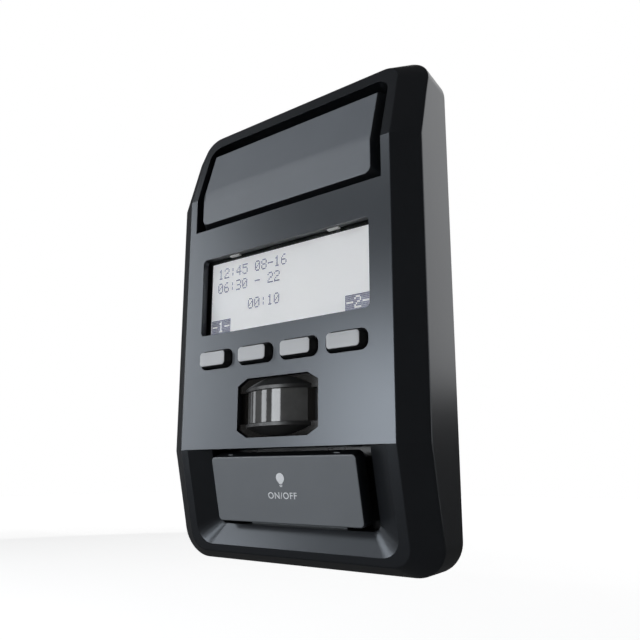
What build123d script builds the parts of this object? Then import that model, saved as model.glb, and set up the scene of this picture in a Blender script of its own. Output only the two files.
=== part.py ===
from build123d import *
from math import cos, radians, sin, tan
import os

os.makedirs("parts", exist_ok=True)

# The origin lies on the wall, behind the middle of the housing.
# X runs to the right, Y into the wall and Z up, so the controls face -Y.
# A distance or a depth is measured from the wall along -Y, unless its comment says otherwise.

# Fits and finishing sizes
overrun = 6.0             # how far a cutter runs past the face it cuts
fixed_gap = 0.25          # gap beside a piece that stays put
moving_gap = 0.35         # gap beside a piece that moves
contact_gap = 0.1         # gap between a presser and the plunger it pushes
running_gap = 0.05        # radial gap round a pivot or a plunger
soft_edge = 0.4           # rounding of moulded edges
fine_edge = 0.2           # rounding of small edges
drive_slot = 0.4          # width of the cross in a screw head

# Housing
width = 80.0
height = 128.3
depth = 19.5
wall = 2.0
corner_radius = 8.0
bevel_side = 6.5          # bevel width along the long sides
bevel_end = 3.4           # bevel width along the top and the bottom
bevel_depth = 4.05
rim_radius = 5.0          # corner radius of the front face
rim_edge = 0.8            # rounding of the bevel's edges
upper_bend = 39.0         # where the front starts to slope back, above the centre
upper_slope = 16.2
lower_bend = 34.75        # the same below the centre
lower_slope = 13.3
front_facing_share = 0.9  # a face that looks forward by this much belongs to the front

# Recess for the push bar
recess_side = 2.5         # front face left beside the recess
recess_end = 5.9          # from the top of the housing down to the recess
recess_low = 28.55
recess_floor = 11.0
recess_wall = 1.8
recess_high_radius = 4.0
recess_scoop = 2.4        # hollow rounding along the top of the recess floor
recess_step = 37.5        # above this height the recess is deeper
recess_deep_floor = 7.0

# Push bar
bar_side_gap = 2.8        # from the recess to the bar's front face, beside it and above it
bar_end_gap = 3.9
bar_low = 30.35
bar_proud = 0.15
bar_thickness = 3.4
bar_end_thickness = 2.4
bar_end_length = 4.35     # stretch over which the bar thins towards its upper end
bar_wall = 1.6
bar_head = 4.4            # solid upper end that holds the ears
bar_side_flare = 2.1      # how far the bar's sides spread from its front face to its rear edge
bar_low_flare = 1.2
bar_corner_radius = 2.2
bar_rod_radius = 1.1
bar_rod_drop = 2.05       # hinge rod's axis below the bar's upper end
bar_rod_depth = 4.8       # hinge rod's axis behind the bar's front face
bar_rod_reach = 1.2       # how far the rod runs into the recess wall
bar_ear_radius = 2.0
bar_ear_inset = 3.4       # from the bar's side to the inner face of its ear
bar_ear_thickness = 1.6
bar_post_radius = 1.2
bar_rib_thickness = 1.0
bar_rib_across = 14.0

# Basin round the light button
basin_side = 2.5          # front face left beside the basin
basin_end = 4.4           # from the bottom of the housing up to the basin
basin_depth = 3.4         # behind the sloping front
basin_side_slope = 6.0    # width of the sloping walls beside and below the well
basin_end_slope = 5.3
basin_low_radius = 5.0
basin_wall = 1.5
well_radius = 2.2
well_lip = 1.0

# Light button
light_side_gap = 2.4      # from the well to the button
light_low_gap = 1.0
light_high_gap = 2.1      # from the lower bend down to the button
light_sunk = 0.3          # face behind the sloping front
light_wall = 1.6
light_corner_radius = 1.2
light_side = 3.4          # depth of the side walls
light_draft = 8.0         # how much the side walls spread towards their rear
light_hook_inset = 7.6    # from the button's side to the hook behind the well's lower lip
light_hook = 1.2
light_hook_reach = 1.3    # how far the hook runs behind the lip
light_pivot_radius = 1.1
light_pivot_drop = 1.35   # pivot axis below the button's upper edge
light_lug_inset = 4.8     # from the button's side to the inner face of the lug
light_lug_width = 2.0
light_lug_half = 2.0
light_arm = 1.6           # thickness of an arm that carries a pivot stub
light_switch_drop = 9.8   # switch below the pivot axis
light_post_radius = 1.3

# Display
display_side = 12.6       # from the housing's side to the display opening
display_high = 19.3
display_low = -3.15
display_radius = 1.2
window_margin = 1.7
window_thickness = 1.0
glass_margin = 0.9
glass_thickness = 2.3
backlight_thickness = 2.8
frame_margin = 2.6
frame_wall = 1.1
frame_shelf = 1.0
clip_width = 3.4
clip_thickness = 0.6
clip_drop = 0.35          # how far a clip shows below the opening's top wall
clip_reach = 0.9
clip_inset = 10.9         # from the opening's side to the middle of a clip
header_pins = 12
header_pitch = 2.54
header_pin_half = 0.3
header_rise = 1.4         # pin row above the display opening's lower edge

# Soft keys
key_count = 4
key_row_margin = 0.6      # how far the row's outer pitch runs past the display opening
key_height = -10.4
key_hole_half_width = 5.9
key_hole_half_height = 2.63
key_hole_radius = 2.0
key_face_half_width = 4.5
key_face_half_height = 1.9
key_face_radius = 0.9
key_proud = 1.9
key_rim = 0.15            # straight rim above the front face
key_flange_reach = 0.65
key_flange = 0.9
key_stem_half = 1.5
key_switch_half = 3.0
key_plunger_radius = 1.7

# Switches under the push bar and the light button
bar_switch_height = 32.2
small_switch_half = 2.2
small_switch_gap = 0.3
small_plunger_radius = 1.0
light_switch_rise = 2.0

# Height and plunger of the tall switches
switch_rise = 3.3
plunger_proud = 0.9
plunger_sunk = 0.9
plunger_floor_gap = 0.7

# Motion sensor
lens_half = 12.9
lens_high = -16.7
lens_low = -32.1
lens_cut_across = 3.2
lens_cut_down = 1.9
lens_radius = 16.6
lens_bulge = 3.0          # how far the collars stand out of the front face
lens_band_high = -20.5    # upright band between the two collars
lens_band_low = -28.6
lens_band_sunk = 0.4      # band behind the collars
lens_collar = 1.0         # height of a collar's ridge
lens_collar_edge = 0.18
lens_shoulder_drop = 3.4
lens_base_sunk = 0.7      # ends of the collars behind the front face
lens_wall = 1.1
lens_flange_margin = 0.9
lens_flange = 0.9
inner_lens_gap = 0.4
inner_lens_thickness = 0.5
inner_lens_half = 8.6
inner_lens_half_height = 4.5
holder_wall = 1.2
holder_opening_half = 7.8
holder_opening_half_height = 5.6
sensor_radius = 4.55
sensor_height = 4.2
sensor_base_radius = 4.9
sensor_base_height = 0.7
sensor_pane_half_width = 2.5
sensor_pane_half_height = 1.9
sensor_pane_thickness = 0.4

# Board
board_side_gap = 6.0      # from the side wall's inside to the board
board_high = 35.0
board_end_gap = 10.15     # from the bottom wall's inside to the board
board_front = 8.0
board_thickness = 1.6
board_corner_radius = 1.5
board_boss_radius = 2.3
board_screw_radius = 1.0
board_screw_head_radius = 2.0
board_screw_head = 1.2
board_screw_length = 6.0
pilot_gap = 0.6           # pilot hole past the end of a screw
upper_boss_inset = 3.0    # from the board's side to a boss
upper_boss_height = 24.5
lower_boss_inset = 2.4
lower_boss_height = -29.6

# Back plate and case screws
plate_thickness = 2.2
case_boss_radius = 2.6
case_boss_bite = 0.6      # how far a case boss sinks into the side wall
case_boss_end = 20.15     # from the housing's end to a case boss
case_boss_reach = 13.5
case_screw_radius = 1.1
case_head_radius = 1.9
case_head_height = 1.1
case_head_sunk = 1.4
case_screw_length = 8.5
wall_screw_radius = 2.25
wall_screw_spacing = 83.3
wall_screw_height = 40.55
wall_boss_radius = 4.4
keyhole_entry_radius = 4.2
keyhole_drop = 7.0
entry_half = 14.0
entry_high = -4.0
entry_low = -26.0
entry_radius = 2.0

# Wire terminals
terminal_half = 8.0
terminal_high = -4.6
terminal_low = -12.6
terminal_depth = 5.0
terminal_pitch = 7.62
terminal_screw_radius = 1.9
terminal_screw_sunk = 0.4
terminal_screw_length = 2.0
terminal_slot = 0.6
terminal_wire_half = 1.2

# Parts on the board
chip_half = 5.0
chip_rise = 1.4
chip_sides = 4
chip_legs = 9             # on each side
chip_leg_pitch = 0.9
chip_leg_width = 0.4
chip_leg_reach = 1.0
chip_leg_thickness = 0.3
chip_inset = 10.0         # from the board's left side to the middle of the chip
chip_height = -20.0
capacitor_radius = 3.1
capacitor_rise = 6.2
capacitor_inset = 11.5    # from the board's right side to the capacitors
capacitor_heights = (-19.0, -27.0)
crystal_half_width = 4.4
crystal_half_height = 1.7
crystal_rise = 3.2
crystal_inset = 10.5      # from the board's left side to the middle of the crystal
crystal_height = -28.9
chip_part_half_width = 1.0
chip_part_half_height = 0.6
chip_part_rise = 0.6
chip_part_pitch = 3.6
chip_part_rows = 2
chip_part_columns = 6
chip_part_height = -39.0

# Sizes that follow from the ones above
recess_half = width / 2 - bevel_side - recess_side
recess_high = height / 2 - recess_end
bar_half = recess_half - bar_side_gap
bar_high = recess_high - bar_end_gap
bar_end_start = bar_high - bar_end_length
bar_rod_height = bar_high - bar_rod_drop
bar_ear_across = bar_half - bar_ear_inset
basin_half = width / 2 - bevel_side - basin_side
basin_low = height / 2 - basin_end
well_half = basin_half - basin_side_slope
well_low = basin_low - basin_end_slope
light_half = well_half - light_side_gap
light_high = lower_bend + light_high_gap
light_low = well_low - light_low_gap
light_flare = light_side * tan(radians(light_draft))
light_pivot_height = light_high + light_pivot_drop
light_lug_across = light_half - light_lug_inset
light_hook_half = light_half - light_hook_inset
light_switch_height = light_pivot_height + light_switch_drop
display_half = width / 2 - display_side
clip_across = display_half - clip_inset
key_pitch = 2 * (display_half + key_row_margin) / key_count
board_half = width / 2 - wall - board_side_gap
board_low = wall + board_end_gap - height / 2
upper_boss_across = board_half - upper_boss_inset
lower_boss_across = board_half - lower_boss_inset
case_boss_height = height / 2 - case_boss_end
chip_across = chip_inset - board_half
crystal_across = crystal_inset - board_half
capacitor_across = board_half - capacitor_inset
inner_front = depth - wall
board_rear = board_front - board_thickness
upper_tilt = radians(upper_slope)
lower_tilt = radians(lower_slope)
display_middle = (display_high + display_low) / 2
display_half_height = (display_high - display_low) / 2
lens_middle = (lens_high + lens_low) / 2
lens_half_height = (lens_high - lens_low) / 2
well_depth = basin_depth + well_lip
case_boss_across = width / 2 - wall - case_boss_radius + case_boss_bite
lower_screw_height = wall_screw_height - wall_screw_spacing
switch_front = board_front + switch_rise
plunger_front = switch_front + plunger_proud
light_switch_front = board_front + light_switch_rise
light_plunger_front = light_switch_front + plunger_proud / 2


def level(distance):
    """Plane parallel to the wall, at a distance from it, facing out."""
    return Plane.XZ.offset(distance)


def front_depth(up):
    """Depth of the housing's front at a height."""
    if up > upper_bend:
        return depth - (up - upper_bend) * tan(upper_tilt)
    if up < -lower_bend:
        return depth - (-lower_bend - up) * tan(lower_tilt)
    return depth


def rising_face(bend, tilt, front):
    """Plane of the sloping front above a bend, facing out, its y axis up the slope."""
    return Plane(origin=(0, -front, bend), x_dir=(1, 0, 0), z_dir=(0, -cos(tilt), sin(tilt)))


def falling_face(sunk):
    """Plane at a depth behind the lower sloping front, facing out, its y axis up the slope."""
    outward = Vector(0, -cos(lower_tilt), -sin(lower_tilt))
    return Plane(origin=(0, -depth, -lower_bend), x_dir=(1, 0, 0), z_dir=outward).offset(-sunk)


def down_the_slope(drop, sunk):
    """Place on the lower sloping plane's y axis of a height below the centre."""
    return (lower_bend - drop - sunk * sin(lower_tilt)) / cos(lower_tilt)


def upright_outline(half, low, high, low_radius=0, high_radius=0):
    """Upright rectangle from low to high, its lower and upper corners rounded each in their own way."""
    with BuildSketch() as outline:
        with Locations((0, (low + high) / 2)):
            Rectangle(2 * half, high - low)
        if low_radius > 0:
            fillet(outline.vertices().group_by(Axis.Y)[0], low_radius)
        if high_radius > 0:
            fillet(outline.vertices().group_by(Axis.Y)[-1], high_radius)
    return outline.sketch


def octagon_outline(grow):
    """Outline of the motion sensor's opening, grown on every side."""
    across = lens_half + grow
    up = lens_half_height + grow
    with BuildSketch() as outline:
        with BuildLine():
            Polyline(
                (across, up - lens_cut_down),
                (across - lens_cut_across, up),
                (lens_cut_across - across, up),
                (-across, up - lens_cut_down),
                (-across, lens_cut_down - up),
                (lens_cut_across - across, -up),
                (across - lens_cut_across, -up),
                (across, lens_cut_down - up),
                close=True,
            )
        make_face()
    return outline.sketch


def block(half, low, high, near, far, radius=0, across=0):
    """Upright block between two depths, its four long edges rounded."""
    with BuildPart() as piece:
        with BuildSketch(level(near)):
            with Locations((across, 0)):
                add(upright_outline(half, low, high, radius, radius))
        extrude(amount=far - near)
    return piece.part


def rod(radius, near, far, across=0, up=0):
    """Round rod square to the wall, between two depths."""
    with BuildPart() as piece:
        with BuildSketch(level(near)):
            with Locations((across, up)):
                Circle(radius)
        extrude(amount=far - near)
    return piece.part


def cross_rod(radius, near, far, distance, up):
    """Round rod along X, between two places beside the centre."""
    with BuildPart() as piece:
        with BuildSketch(Plane.YZ.offset(near)):
            with Locations((-distance, up)):
                Circle(radius)
        extrude(amount=far - near)
    return piece.part


def octagon_block(grow, near, far):
    """Block with the outline of the motion sensor's opening, between two depths."""
    with BuildPart() as piece:
        with BuildSketch(level(near)):
            with Locations((0, lens_middle)):
                add(octagon_outline(grow))
        extrude(amount=far - near)
    return piece.part


def end_zone(inset, rear, bend, tilt):
    """Sloping end of the casing above its bend, bevelled along both sides and the end."""
    front = depth - inset
    seam = bend - inset * tan(tilt / 2)
    half = width / 2 - inset
    drop = bevel_depth * cos(tilt)
    face = rising_face(seam, tilt, front)
    edge_high = (height / 2 - inset - seam + drop * sin(tilt)) / cos(tilt)
    edge_outline = upright_outline(half, -overrun, edge_high, 0, corner_radius - inset)
    front_outline = upright_outline(
        half - bevel_side, -overrun, edge_high - bevel_end, 0, rim_radius - inset / 2
    )
    with BuildPart() as zone:
        with BuildSketch(face.offset(-drop)) as edge:
            add(edge_outline)
        with BuildSketch(face):
            add(front_outline)
        loft(ruled=True)
        extrude(edge.sketch, amount=2 * depth, dir=(0, 1, 0))
        split(bisect_by=Plane.XY.offset(seam), keep=Keep.TOP)
        split(bisect_by=level(rear), keep=Keep.TOP)
    return zone.part


def casing_form(inset, rear):
    """Form of the casing drawn in by an inset, from a rear depth forward."""
    upper = end_zone(inset, rear, upper_bend, upper_tilt)
    lower = mirror(end_zone(inset, rear, lower_bend, lower_tilt), about=Plane.XY)
    top_seam = upper_bend - inset * tan(upper_tilt / 2)
    low_seam = lower_bend - inset * tan(lower_tilt / 2)
    half = width / 2 - inset
    front = depth - inset
    side = front - bevel_depth
    with BuildPart() as form:
        with BuildSketch(Plane.XY.offset(-low_seam)):
            with BuildLine():
                Polyline(
                    (half, -rear),
                    (half, -side),
                    (half - bevel_side, -front),
                    (bevel_side - half, -front),
                    (-half, -side),
                    (-half, -rear),
                    close=True,
                )
            make_face()
        extrude(amount=low_seam + top_seam)
        add(upper)
        add(lower)
    return form.part


def front_faces(form):
    """Faces that look forward, away from the wall."""
    return form.faces().filter_by(lambda face: -face.normal_at().Y > front_facing_share)


def rim_of(faces):
    """Edges on the outline of a group of touching faces."""
    edges = faces.edges()
    return ShapeList(edge for edge in edges if sum(edge.is_same(other) for other in edges) == 1)


def soften_rim(form):
    """The casing's form with the edges of its bevel and its front bends rounded."""
    walls = form.faces().filter_by(lambda face: abs(face.normal_at().Y) < 1 - front_facing_share)
    outer_edges = rim_of(walls).filter_by(lambda edge: -edge.center().Y > bevel_depth)
    face_edges = front_faces(form).edges()
    front_edges = form.edges().filter_by(lambda edge: any(edge.is_same(other) for other in face_edges))
    return form.fillet(rim_edge, outer_edges + front_edges)


def recess_form(grow):
    """Room of the push bar's recess, grown on every side, with a deeper part along its top."""
    room_low = upright_outline(recess_half + grow, recess_low - grow, recess_high - recess_high_radius)
    room_high = upright_outline(
        recess_half + grow, recess_step - grow, recess_high + grow, 0, recess_high_radius + grow
    )
    with BuildPart() as room:
        with BuildSketch(level(recess_deep_floor - grow)):
            add(room_high)
        extrude(amount=depth + overrun - recess_deep_floor + grow)
        floor_edges = room.faces().sort_by(Axis.Y)[-1].edges()
        fillet(
            floor_edges.filter_by(lambda edge: edge.center().Z > recess_high - recess_high_radius),
            recess_scoop,
        )
        with BuildSketch(level(recess_floor - grow)):
            add(room_low)
        extrude(amount=depth + overrun - recess_floor + grow)
    return room.part


def basin_form(grow, ceiling):
    """Room of the lower basin, its side and bottom walls sloping in to the button's well."""
    surface_low = down_the_slope(basin_low + grow, 0)
    floor_low = down_the_slope(well_low + grow, basin_depth)
    with BuildPart() as room:
        with BuildSketch(falling_face(basin_depth)):
            add(upright_outline(well_half + grow, floor_low, overrun, well_radius + grow))
        with BuildSketch(falling_face(0)):
            add(upright_outline(basin_half + grow, surface_low, overrun, basin_low_radius + grow))
        loft(ruled=True)
        split(bisect_by=Plane.XY.offset(-ceiling), keep=Keep.BOTTOM)
    return room.part


def well_form(grow, near, far, ceiling):
    """Straight well of the light button, between two depths behind the sloping front."""
    floor_low = down_the_slope(well_low + grow, basin_depth)
    with BuildPart() as room:
        with BuildSketch(falling_face(far)):
            add(upright_outline(well_half + grow, floor_low, overrun, well_radius + grow))
        extrude(amount=far - near)
        split(bisect_by=Plane.XY.offset(-ceiling), keep=Keep.BOTTOM)
    return room.part


def screw(head_radius, head_height, radius, length, seat):
    """Pan head screw on the origin's axis: head behind its seat, shank in front of it."""
    with BuildPart() as piece:
        with BuildSketch(level(seat - head_height)):
            Circle(head_radius)
        extrude(amount=head_height)
        fillet(piece.edges().sort_by(Axis.Y)[-1], fine_edge)
        with BuildSketch(level(seat)):
            Circle(radius)
        extrude(amount=length)
        with BuildSketch(level(seat - head_height)):
            Rectangle(2 * radius, drive_slot)
            Rectangle(drive_slot, 2 * radius)
        extrude(amount=head_height / 2, mode=Mode.SUBTRACT)
    return piece.part


def tact_switch(half, rise, radius, sunk):
    """Body of a push switch on the board, on the origin's axis, with the bore of its plunger."""
    with BuildPart() as body:
        with BuildSketch(level(board_front)):
            RectangleRounded(2 * half, 2 * half, soft_edge)
        extrude(amount=rise)
        with BuildSketch(level(board_front + rise - sunk - plunger_floor_gap)):
            Circle(radius + running_gap)
        extrude(amount=sunk + plunger_floor_gap, mode=Mode.SUBTRACT)
    return body.part


def save(part, name):
    """Label a finished piece and write it to its own file."""
    part.label = name
    export_step(part, f"parts/{name}.step")


# Places shared by several pieces
case_boss_places = [(side * case_boss_across, up * case_boss_height) for side in (-1, 1) for up in (-1, 1)]
board_boss_places = [(side * upper_boss_across, upper_boss_height) for side in (-1, 1)]
board_boss_places += [(side * lower_boss_across, lower_boss_height) for side in (-1, 1)]
key_places = [((number - (key_count - 1) / 2) * key_pitch, key_height) for number in range(key_count)]
clip_places = [(side * clip_across, display_high) for side in (-1, 1)]
bar_rod_distance = front_depth(bar_rod_height) + bar_proud - bar_rod_depth
bar_rod_end = recess_half + bar_rod_reach
light_rear = light_sunk + light_side
light_pivot_depth = light_rear + fixed_gap + light_lug_half
light_pivot_distance = front_depth(-light_pivot_height) - light_pivot_depth / cos(lower_tilt)
lug_end = light_lug_across + light_lug_width

# Front housing
outer_form = soften_rim(casing_form(0, 0))
cavity_form = casing_form(wall, -overrun)
recess_tub = outer_form & recess_form(recess_wall)
basin_tub = outer_form & (
    basin_form(basin_wall, lower_bend - basin_wall)
    + well_form(basin_wall, basin_depth, well_depth, lower_bend - basin_wall)
)
with BuildPart() as lug:
    with BuildSketch(Plane.YZ.offset(light_lug_across)):
        with BuildLine():
            Polyline(
                (light_lug_half - light_pivot_distance, -light_pivot_height - light_lug_half),
                (light_lug_half - light_pivot_distance, basin_wall - lower_bend),
                (basin_depth - depth, basin_wall - lower_bend),
                (basin_depth - depth, -lower_bend),
                (-light_lug_half - light_pivot_distance, -lower_bend),
                (-light_lug_half - light_pivot_distance, -light_pivot_height - light_lug_half),
                close=True,
            )
        make_face()
    extrude(amount=light_lug_width)
bar_bore = cross_rod(
    bar_rod_radius + running_gap,
    bar_ear_across - fine_edge,
    bar_rod_end + contact_gap,
    bar_rod_distance,
    bar_rod_height,
)
light_bore = cross_rod(
    light_pivot_radius + running_gap,
    light_lug_across - fine_edge,
    lug_end + fine_edge,
    light_pivot_distance,
    -light_pivot_height,
)

with BuildPart() as front_housing:
    add(outer_form)
    add(cavity_form, mode=Mode.SUBTRACT)
    add(recess_tub)
    add(basin_tub)
    # Bosses for the case screws and the board screws, and the sleeve of the upper wall screw
    with BuildSketch(level(plate_thickness)):
        with Locations(*case_boss_places):
            Circle(case_boss_radius)
    extrude(amount=case_boss_reach - plate_thickness)
    with BuildSketch(level(board_front)):
        with Locations(*board_boss_places):
            Circle(board_boss_radius)
    extrude(amount=inner_front - board_front)
    with BuildSketch(level(plate_thickness)):
        with Locations((0, wall_screw_height)):
            Circle(wall_boss_radius)
    extrude(amount=recess_deep_floor - recess_wall - plate_thickness)
    # Lugs that carry the light button's pivot stubs
    add(lug.part)
    mirror(lug.part, about=Plane.YZ)
    # Recess, basin and well
    add(recess_form(0), mode=Mode.SUBTRACT)
    add(basin_form(0, lower_bend), mode=Mode.SUBTRACT)
    add(well_form(0, basin_depth - fine_edge, well_depth + overrun, lower_bend), mode=Mode.SUBTRACT)
    # Pivot bores of the push bar and of the light button
    for bore in (bar_bore, light_bore):
        add(bore, mode=Mode.SUBTRACT)
        mirror(bore, about=Plane.YZ, mode=Mode.SUBTRACT)
    # Display opening and the notches of its clips
    with BuildSketch(level(inner_front - fine_edge)):
        with Locations((0, display_middle)):
            RectangleRounded(2 * display_half, 2 * display_half_height, display_radius)
    extrude(amount=wall + overrun, mode=Mode.SUBTRACT)
    with BuildSketch(level(inner_front)):
        with Locations(*clip_places):
            Rectangle(clip_width + 2 * contact_gap, 2 * (clip_thickness - clip_drop + contact_gap))
    extrude(amount=clip_reach + contact_gap, mode=Mode.SUBTRACT)
    # Key holes and the motion sensor opening
    with BuildSketch(level(inner_front - fine_edge)):
        with Locations(*key_places):
            RectangleRounded(2 * key_hole_half_width, 2 * key_hole_half_height, key_hole_radius)
    extrude(amount=wall + overrun, mode=Mode.SUBTRACT)
    add(octagon_block(0, inner_front - fine_edge, depth + overrun), mode=Mode.SUBTRACT)
    # Switch hole in the recess floor, upper wall screw hole and the pilot holes
    with BuildSketch(level(recess_floor - recess_wall - fine_edge)):
        with Locations((0, bar_switch_height)):
            Rectangle(2 * (small_switch_half + small_switch_gap), 2 * (small_switch_half + small_switch_gap))
    extrude(amount=recess_wall + overrun, mode=Mode.SUBTRACT)
    with BuildSketch(level(0)):
        with Locations((0, wall_screw_height)):
            Circle(wall_screw_radius)
    extrude(amount=depth, mode=Mode.SUBTRACT)
    with BuildSketch(level(0)):
        with Locations(*case_boss_places):
            Circle(case_screw_radius + running_gap)
    extrude(amount=case_head_sunk + case_screw_length + pilot_gap, mode=Mode.SUBTRACT)
    with BuildSketch(level(0)):
        with Locations(*board_boss_places):
            Circle(board_screw_radius + running_gap)
    extrude(amount=board_rear + board_screw_length + pilot_gap, mode=Mode.SUBTRACT)
save(front_housing.part, "front_housing")

# Push bar, a hollow cap with a kinked face and two ears under its upper end
bar_front = depth + bar_proud
bar_high_front = front_depth(bar_high) + bar_proud
bar_end_front = front_depth(bar_end_start) + bar_proud
bar_head_low = bar_high - bar_head
bar_head_front = front_depth(bar_head_low) + bar_proud


def bar_side_face(side, tilt):
    """Plane of the bar's spreading side below the bend, or above it where the face tilts back."""
    outward = Vector(side * bar_thickness, -bar_side_flare * cos(tilt), bar_side_flare * sin(tilt))
    return Plane(origin=(side * bar_half, -bar_front, upper_bend), z_dir=outward)


with BuildPart() as bar_shape:
    with BuildSketch(Plane.YZ):
        with BuildLine():
            Polyline(
                (-bar_front, bar_low - bar_low_flare),
                (-bar_front, upper_bend),
                (-bar_high_front, bar_high),
                (bar_end_thickness - bar_high_front, bar_high),
                (bar_thickness - bar_end_front, bar_end_start),
                (bar_thickness - bar_front, upper_bend),
                (bar_thickness - bar_front, bar_low - bar_low_flare),
                close=True,
            )
        make_face()
    extrude(amount=bar_half + bar_side_flare, both=True)
    for side in (-1, 1):
        for tilt in (0, upper_tilt):
            split(bisect_by=bar_side_face(side, tilt), keep=Keep.BOTTOM)
    split(
        bisect_by=Plane(origin=(0, -bar_front, bar_low), z_dir=(0, -bar_low_flare, -bar_thickness)),
        keep=Keep.BOTTOM,
    )
    side_edges = bar_shape.edges().filter_by(lambda edge: abs(edge.center().X) > bar_half)
    long_edges = side_edges.filter_by(lambda edge: edge.length > bar_thickness)
    fillet(long_edges.filter_by(lambda edge: edge.center().Z < bar_low), bar_corner_radius)
    fillet(rim_of(front_faces(bar_shape.part)), soft_edge)
with BuildPart() as bar_hollow:
    with BuildSketch(Plane.YZ):
        with BuildLine():
            Polyline(
                (bar_wall - bar_front, bar_low + bar_wall),
                (bar_wall - bar_front, upper_bend),
                (bar_wall - bar_head_front, bar_head_low),
                (overrun - bar_head_front, bar_head_low),
                (overrun - bar_front, bar_low + bar_wall),
                close=True,
            )
        make_face()
    extrude(amount=bar_half - bar_wall, both=True)
with BuildPart() as bar_rib:
    with BuildSketch(Plane.YZ.offset(bar_rib_across)):
        Rectangle(2 * depth, height)
    extrude(amount=bar_rib_thickness)
bar_rib_solid = bar_rib.part & bar_shape.part
bar_ear_rise = bar_rod_depth - bar_wall
with BuildPart() as bar_ear:
    with BuildSketch(Plane.YZ.offset(bar_ear_across)):
        with Locations((-bar_rod_distance, bar_rod_height)):
            Circle(bar_ear_radius)
        with Locations((-bar_rod_distance - bar_ear_rise / 2, bar_rod_height)):
            Rectangle(bar_ear_rise, 2 * bar_ear_radius)
    extrude(amount=bar_ear_thickness)
with BuildPart() as push_bar:
    add(bar_shape.part)
    add(bar_hollow.part, mode=Mode.SUBTRACT)
    for piece in (bar_rib_solid, bar_ear.part):
        add(piece)
        mirror(piece, about=Plane.YZ)
    add(bar_bore, mode=Mode.SUBTRACT)
    mirror(bar_bore, about=Plane.YZ, mode=Mode.SUBTRACT)
    add(rod(bar_post_radius, plunger_front + contact_gap, bar_front - bar_wall / 2, 0, bar_switch_height))
save(push_bar.part, "push_bar")
with BuildPart() as bar_hinge_rod:
    with BuildSketch(Plane.YZ):
        with Locations((-bar_rod_distance, bar_rod_height)):
            Circle(bar_rod_radius)
    extrude(amount=bar_rod_end, both=True)
    chamfer(bar_hinge_rod.faces().filter_by(Axis.X).edges(), fine_edge)
save(bar_hinge_rod.part, "bar_hinge_rod")

# Light button, a hollow paddle with two pivot arms and a hook behind the well's lower lip
light_face_low = down_the_slope(light_low, light_sunk)
light_face_high = down_the_slope(light_high, light_sunk)
hook_front = well_depth + fixed_gap
hook_low = down_the_slope(well_low + light_hook_reach, basin_depth)
light_pivot = cross_rod(
    light_pivot_radius, light_lug_across - fixed_gap, lug_end, light_pivot_distance, -light_pivot_height
)
light_arm_start = light_lug_across - fixed_gap - light_arm
light_arm_rise = light_pivot_depth - light_sunk - light_wall / 2
light_post_end = front_depth(-light_switch_height) - (light_sunk + light_wall / 2) / cos(lower_tilt)
with BuildPart() as light_arm_form:
    with BuildSketch(Plane.YZ.offset(light_arm_start)):
        with Locations((-light_pivot_distance, -light_pivot_height)):
            Circle(light_lug_half)
        with Locations((-light_pivot_distance - light_arm_rise / 2, -light_pivot_height)):
            Rectangle(light_arm_rise, 2 * light_lug_half)
    extrude(amount=light_arm)
with BuildPart() as light_button:
    with BuildSketch(falling_face(light_rear)):
        add(
            upright_outline(
                light_half + light_flare,
                light_face_low - light_flare,
                light_face_high + light_flare,
                light_corner_radius + light_flare,
                light_corner_radius + light_flare,
            )
        )
    extrude(amount=light_side, taper=light_draft)
    fillet(rim_of(front_faces(light_button.part)), soft_edge)
    with BuildSketch(falling_face(light_rear + fine_edge)):
        add(
            upright_outline(
                light_half - light_wall, light_face_low + light_wall, light_face_high - light_wall
            )
        )
    extrude(amount=fine_edge + light_side - light_wall, mode=Mode.SUBTRACT)
    with BuildSketch(falling_face(hook_front + light_hook)):
        add(upright_outline(light_hook_half, light_face_low, light_face_low + light_wall))
    extrude(amount=hook_front + light_hook - light_sunk - light_wall)
    with BuildSketch(falling_face(hook_front + light_hook)):
        add(upright_outline(light_hook_half, hook_low, light_face_low + light_wall))
    extrude(amount=light_hook)
    for piece in (light_arm_form.part, light_pivot):
        add(piece)
        mirror(piece, about=Plane.YZ)
    add(rod(light_post_radius, light_plunger_front + contact_gap, light_post_end, 0, -light_switch_height))
save(light_button.part, "light_button")

# Soft keys, each with the plunger that it pushes
key_half_width = key_hole_half_width - moving_gap
key_half_height = key_hole_half_height - moving_gap
flange_face = inner_front - contact_gap
with BuildPart() as key:
    with BuildSketch(level(flange_face)):
        RectangleRounded(2 * key_half_width, 2 * key_half_height, key_hole_radius - moving_gap)
    extrude(amount=depth + key_rim - flange_face)
    with BuildSketch(level(depth + key_rim)):
        RectangleRounded(2 * key_half_width, 2 * key_half_height, key_hole_radius - moving_gap)
    with BuildSketch(level(depth + key_proud)):
        RectangleRounded(2 * key_face_half_width, 2 * key_face_half_height, key_face_radius)
    loft(ruled=True)
    fillet(key.faces().sort_by(Axis.Y)[0].edges(), fine_edge)
    with BuildSketch(level(flange_face - key_flange)):
        Rectangle(
            2 * (key_hole_half_width + key_flange_reach),
            2 * (key_hole_half_height + key_flange_reach),
        )
    extrude(amount=key_flange)
    with BuildSketch(level(plunger_front)):
        Rectangle(2 * key_stem_half, 2 * key_stem_half)
    extrude(amount=flange_face - key_flange - plunger_front)
key_plunger = rod(key_plunger_radius, switch_front - plunger_sunk, plunger_front)
key_switch = tact_switch(key_switch_half, switch_rise, key_plunger_radius, plunger_sunk)
with BuildPart() as soft_key_switches:
    for place in key_places:
        add(key_switch.moved(Location((place[0], 0, place[1]))))
save(soft_key_switches.part, "soft_key_switches")
for number, place in enumerate(key_places, start=1):
    spot = Location((place[0], 0, place[1]))
    save(key.part.moved(spot), f"soft_key_{number}")
    save(key_plunger.moved(spot), f"soft_key_plunger_{number}")

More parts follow.
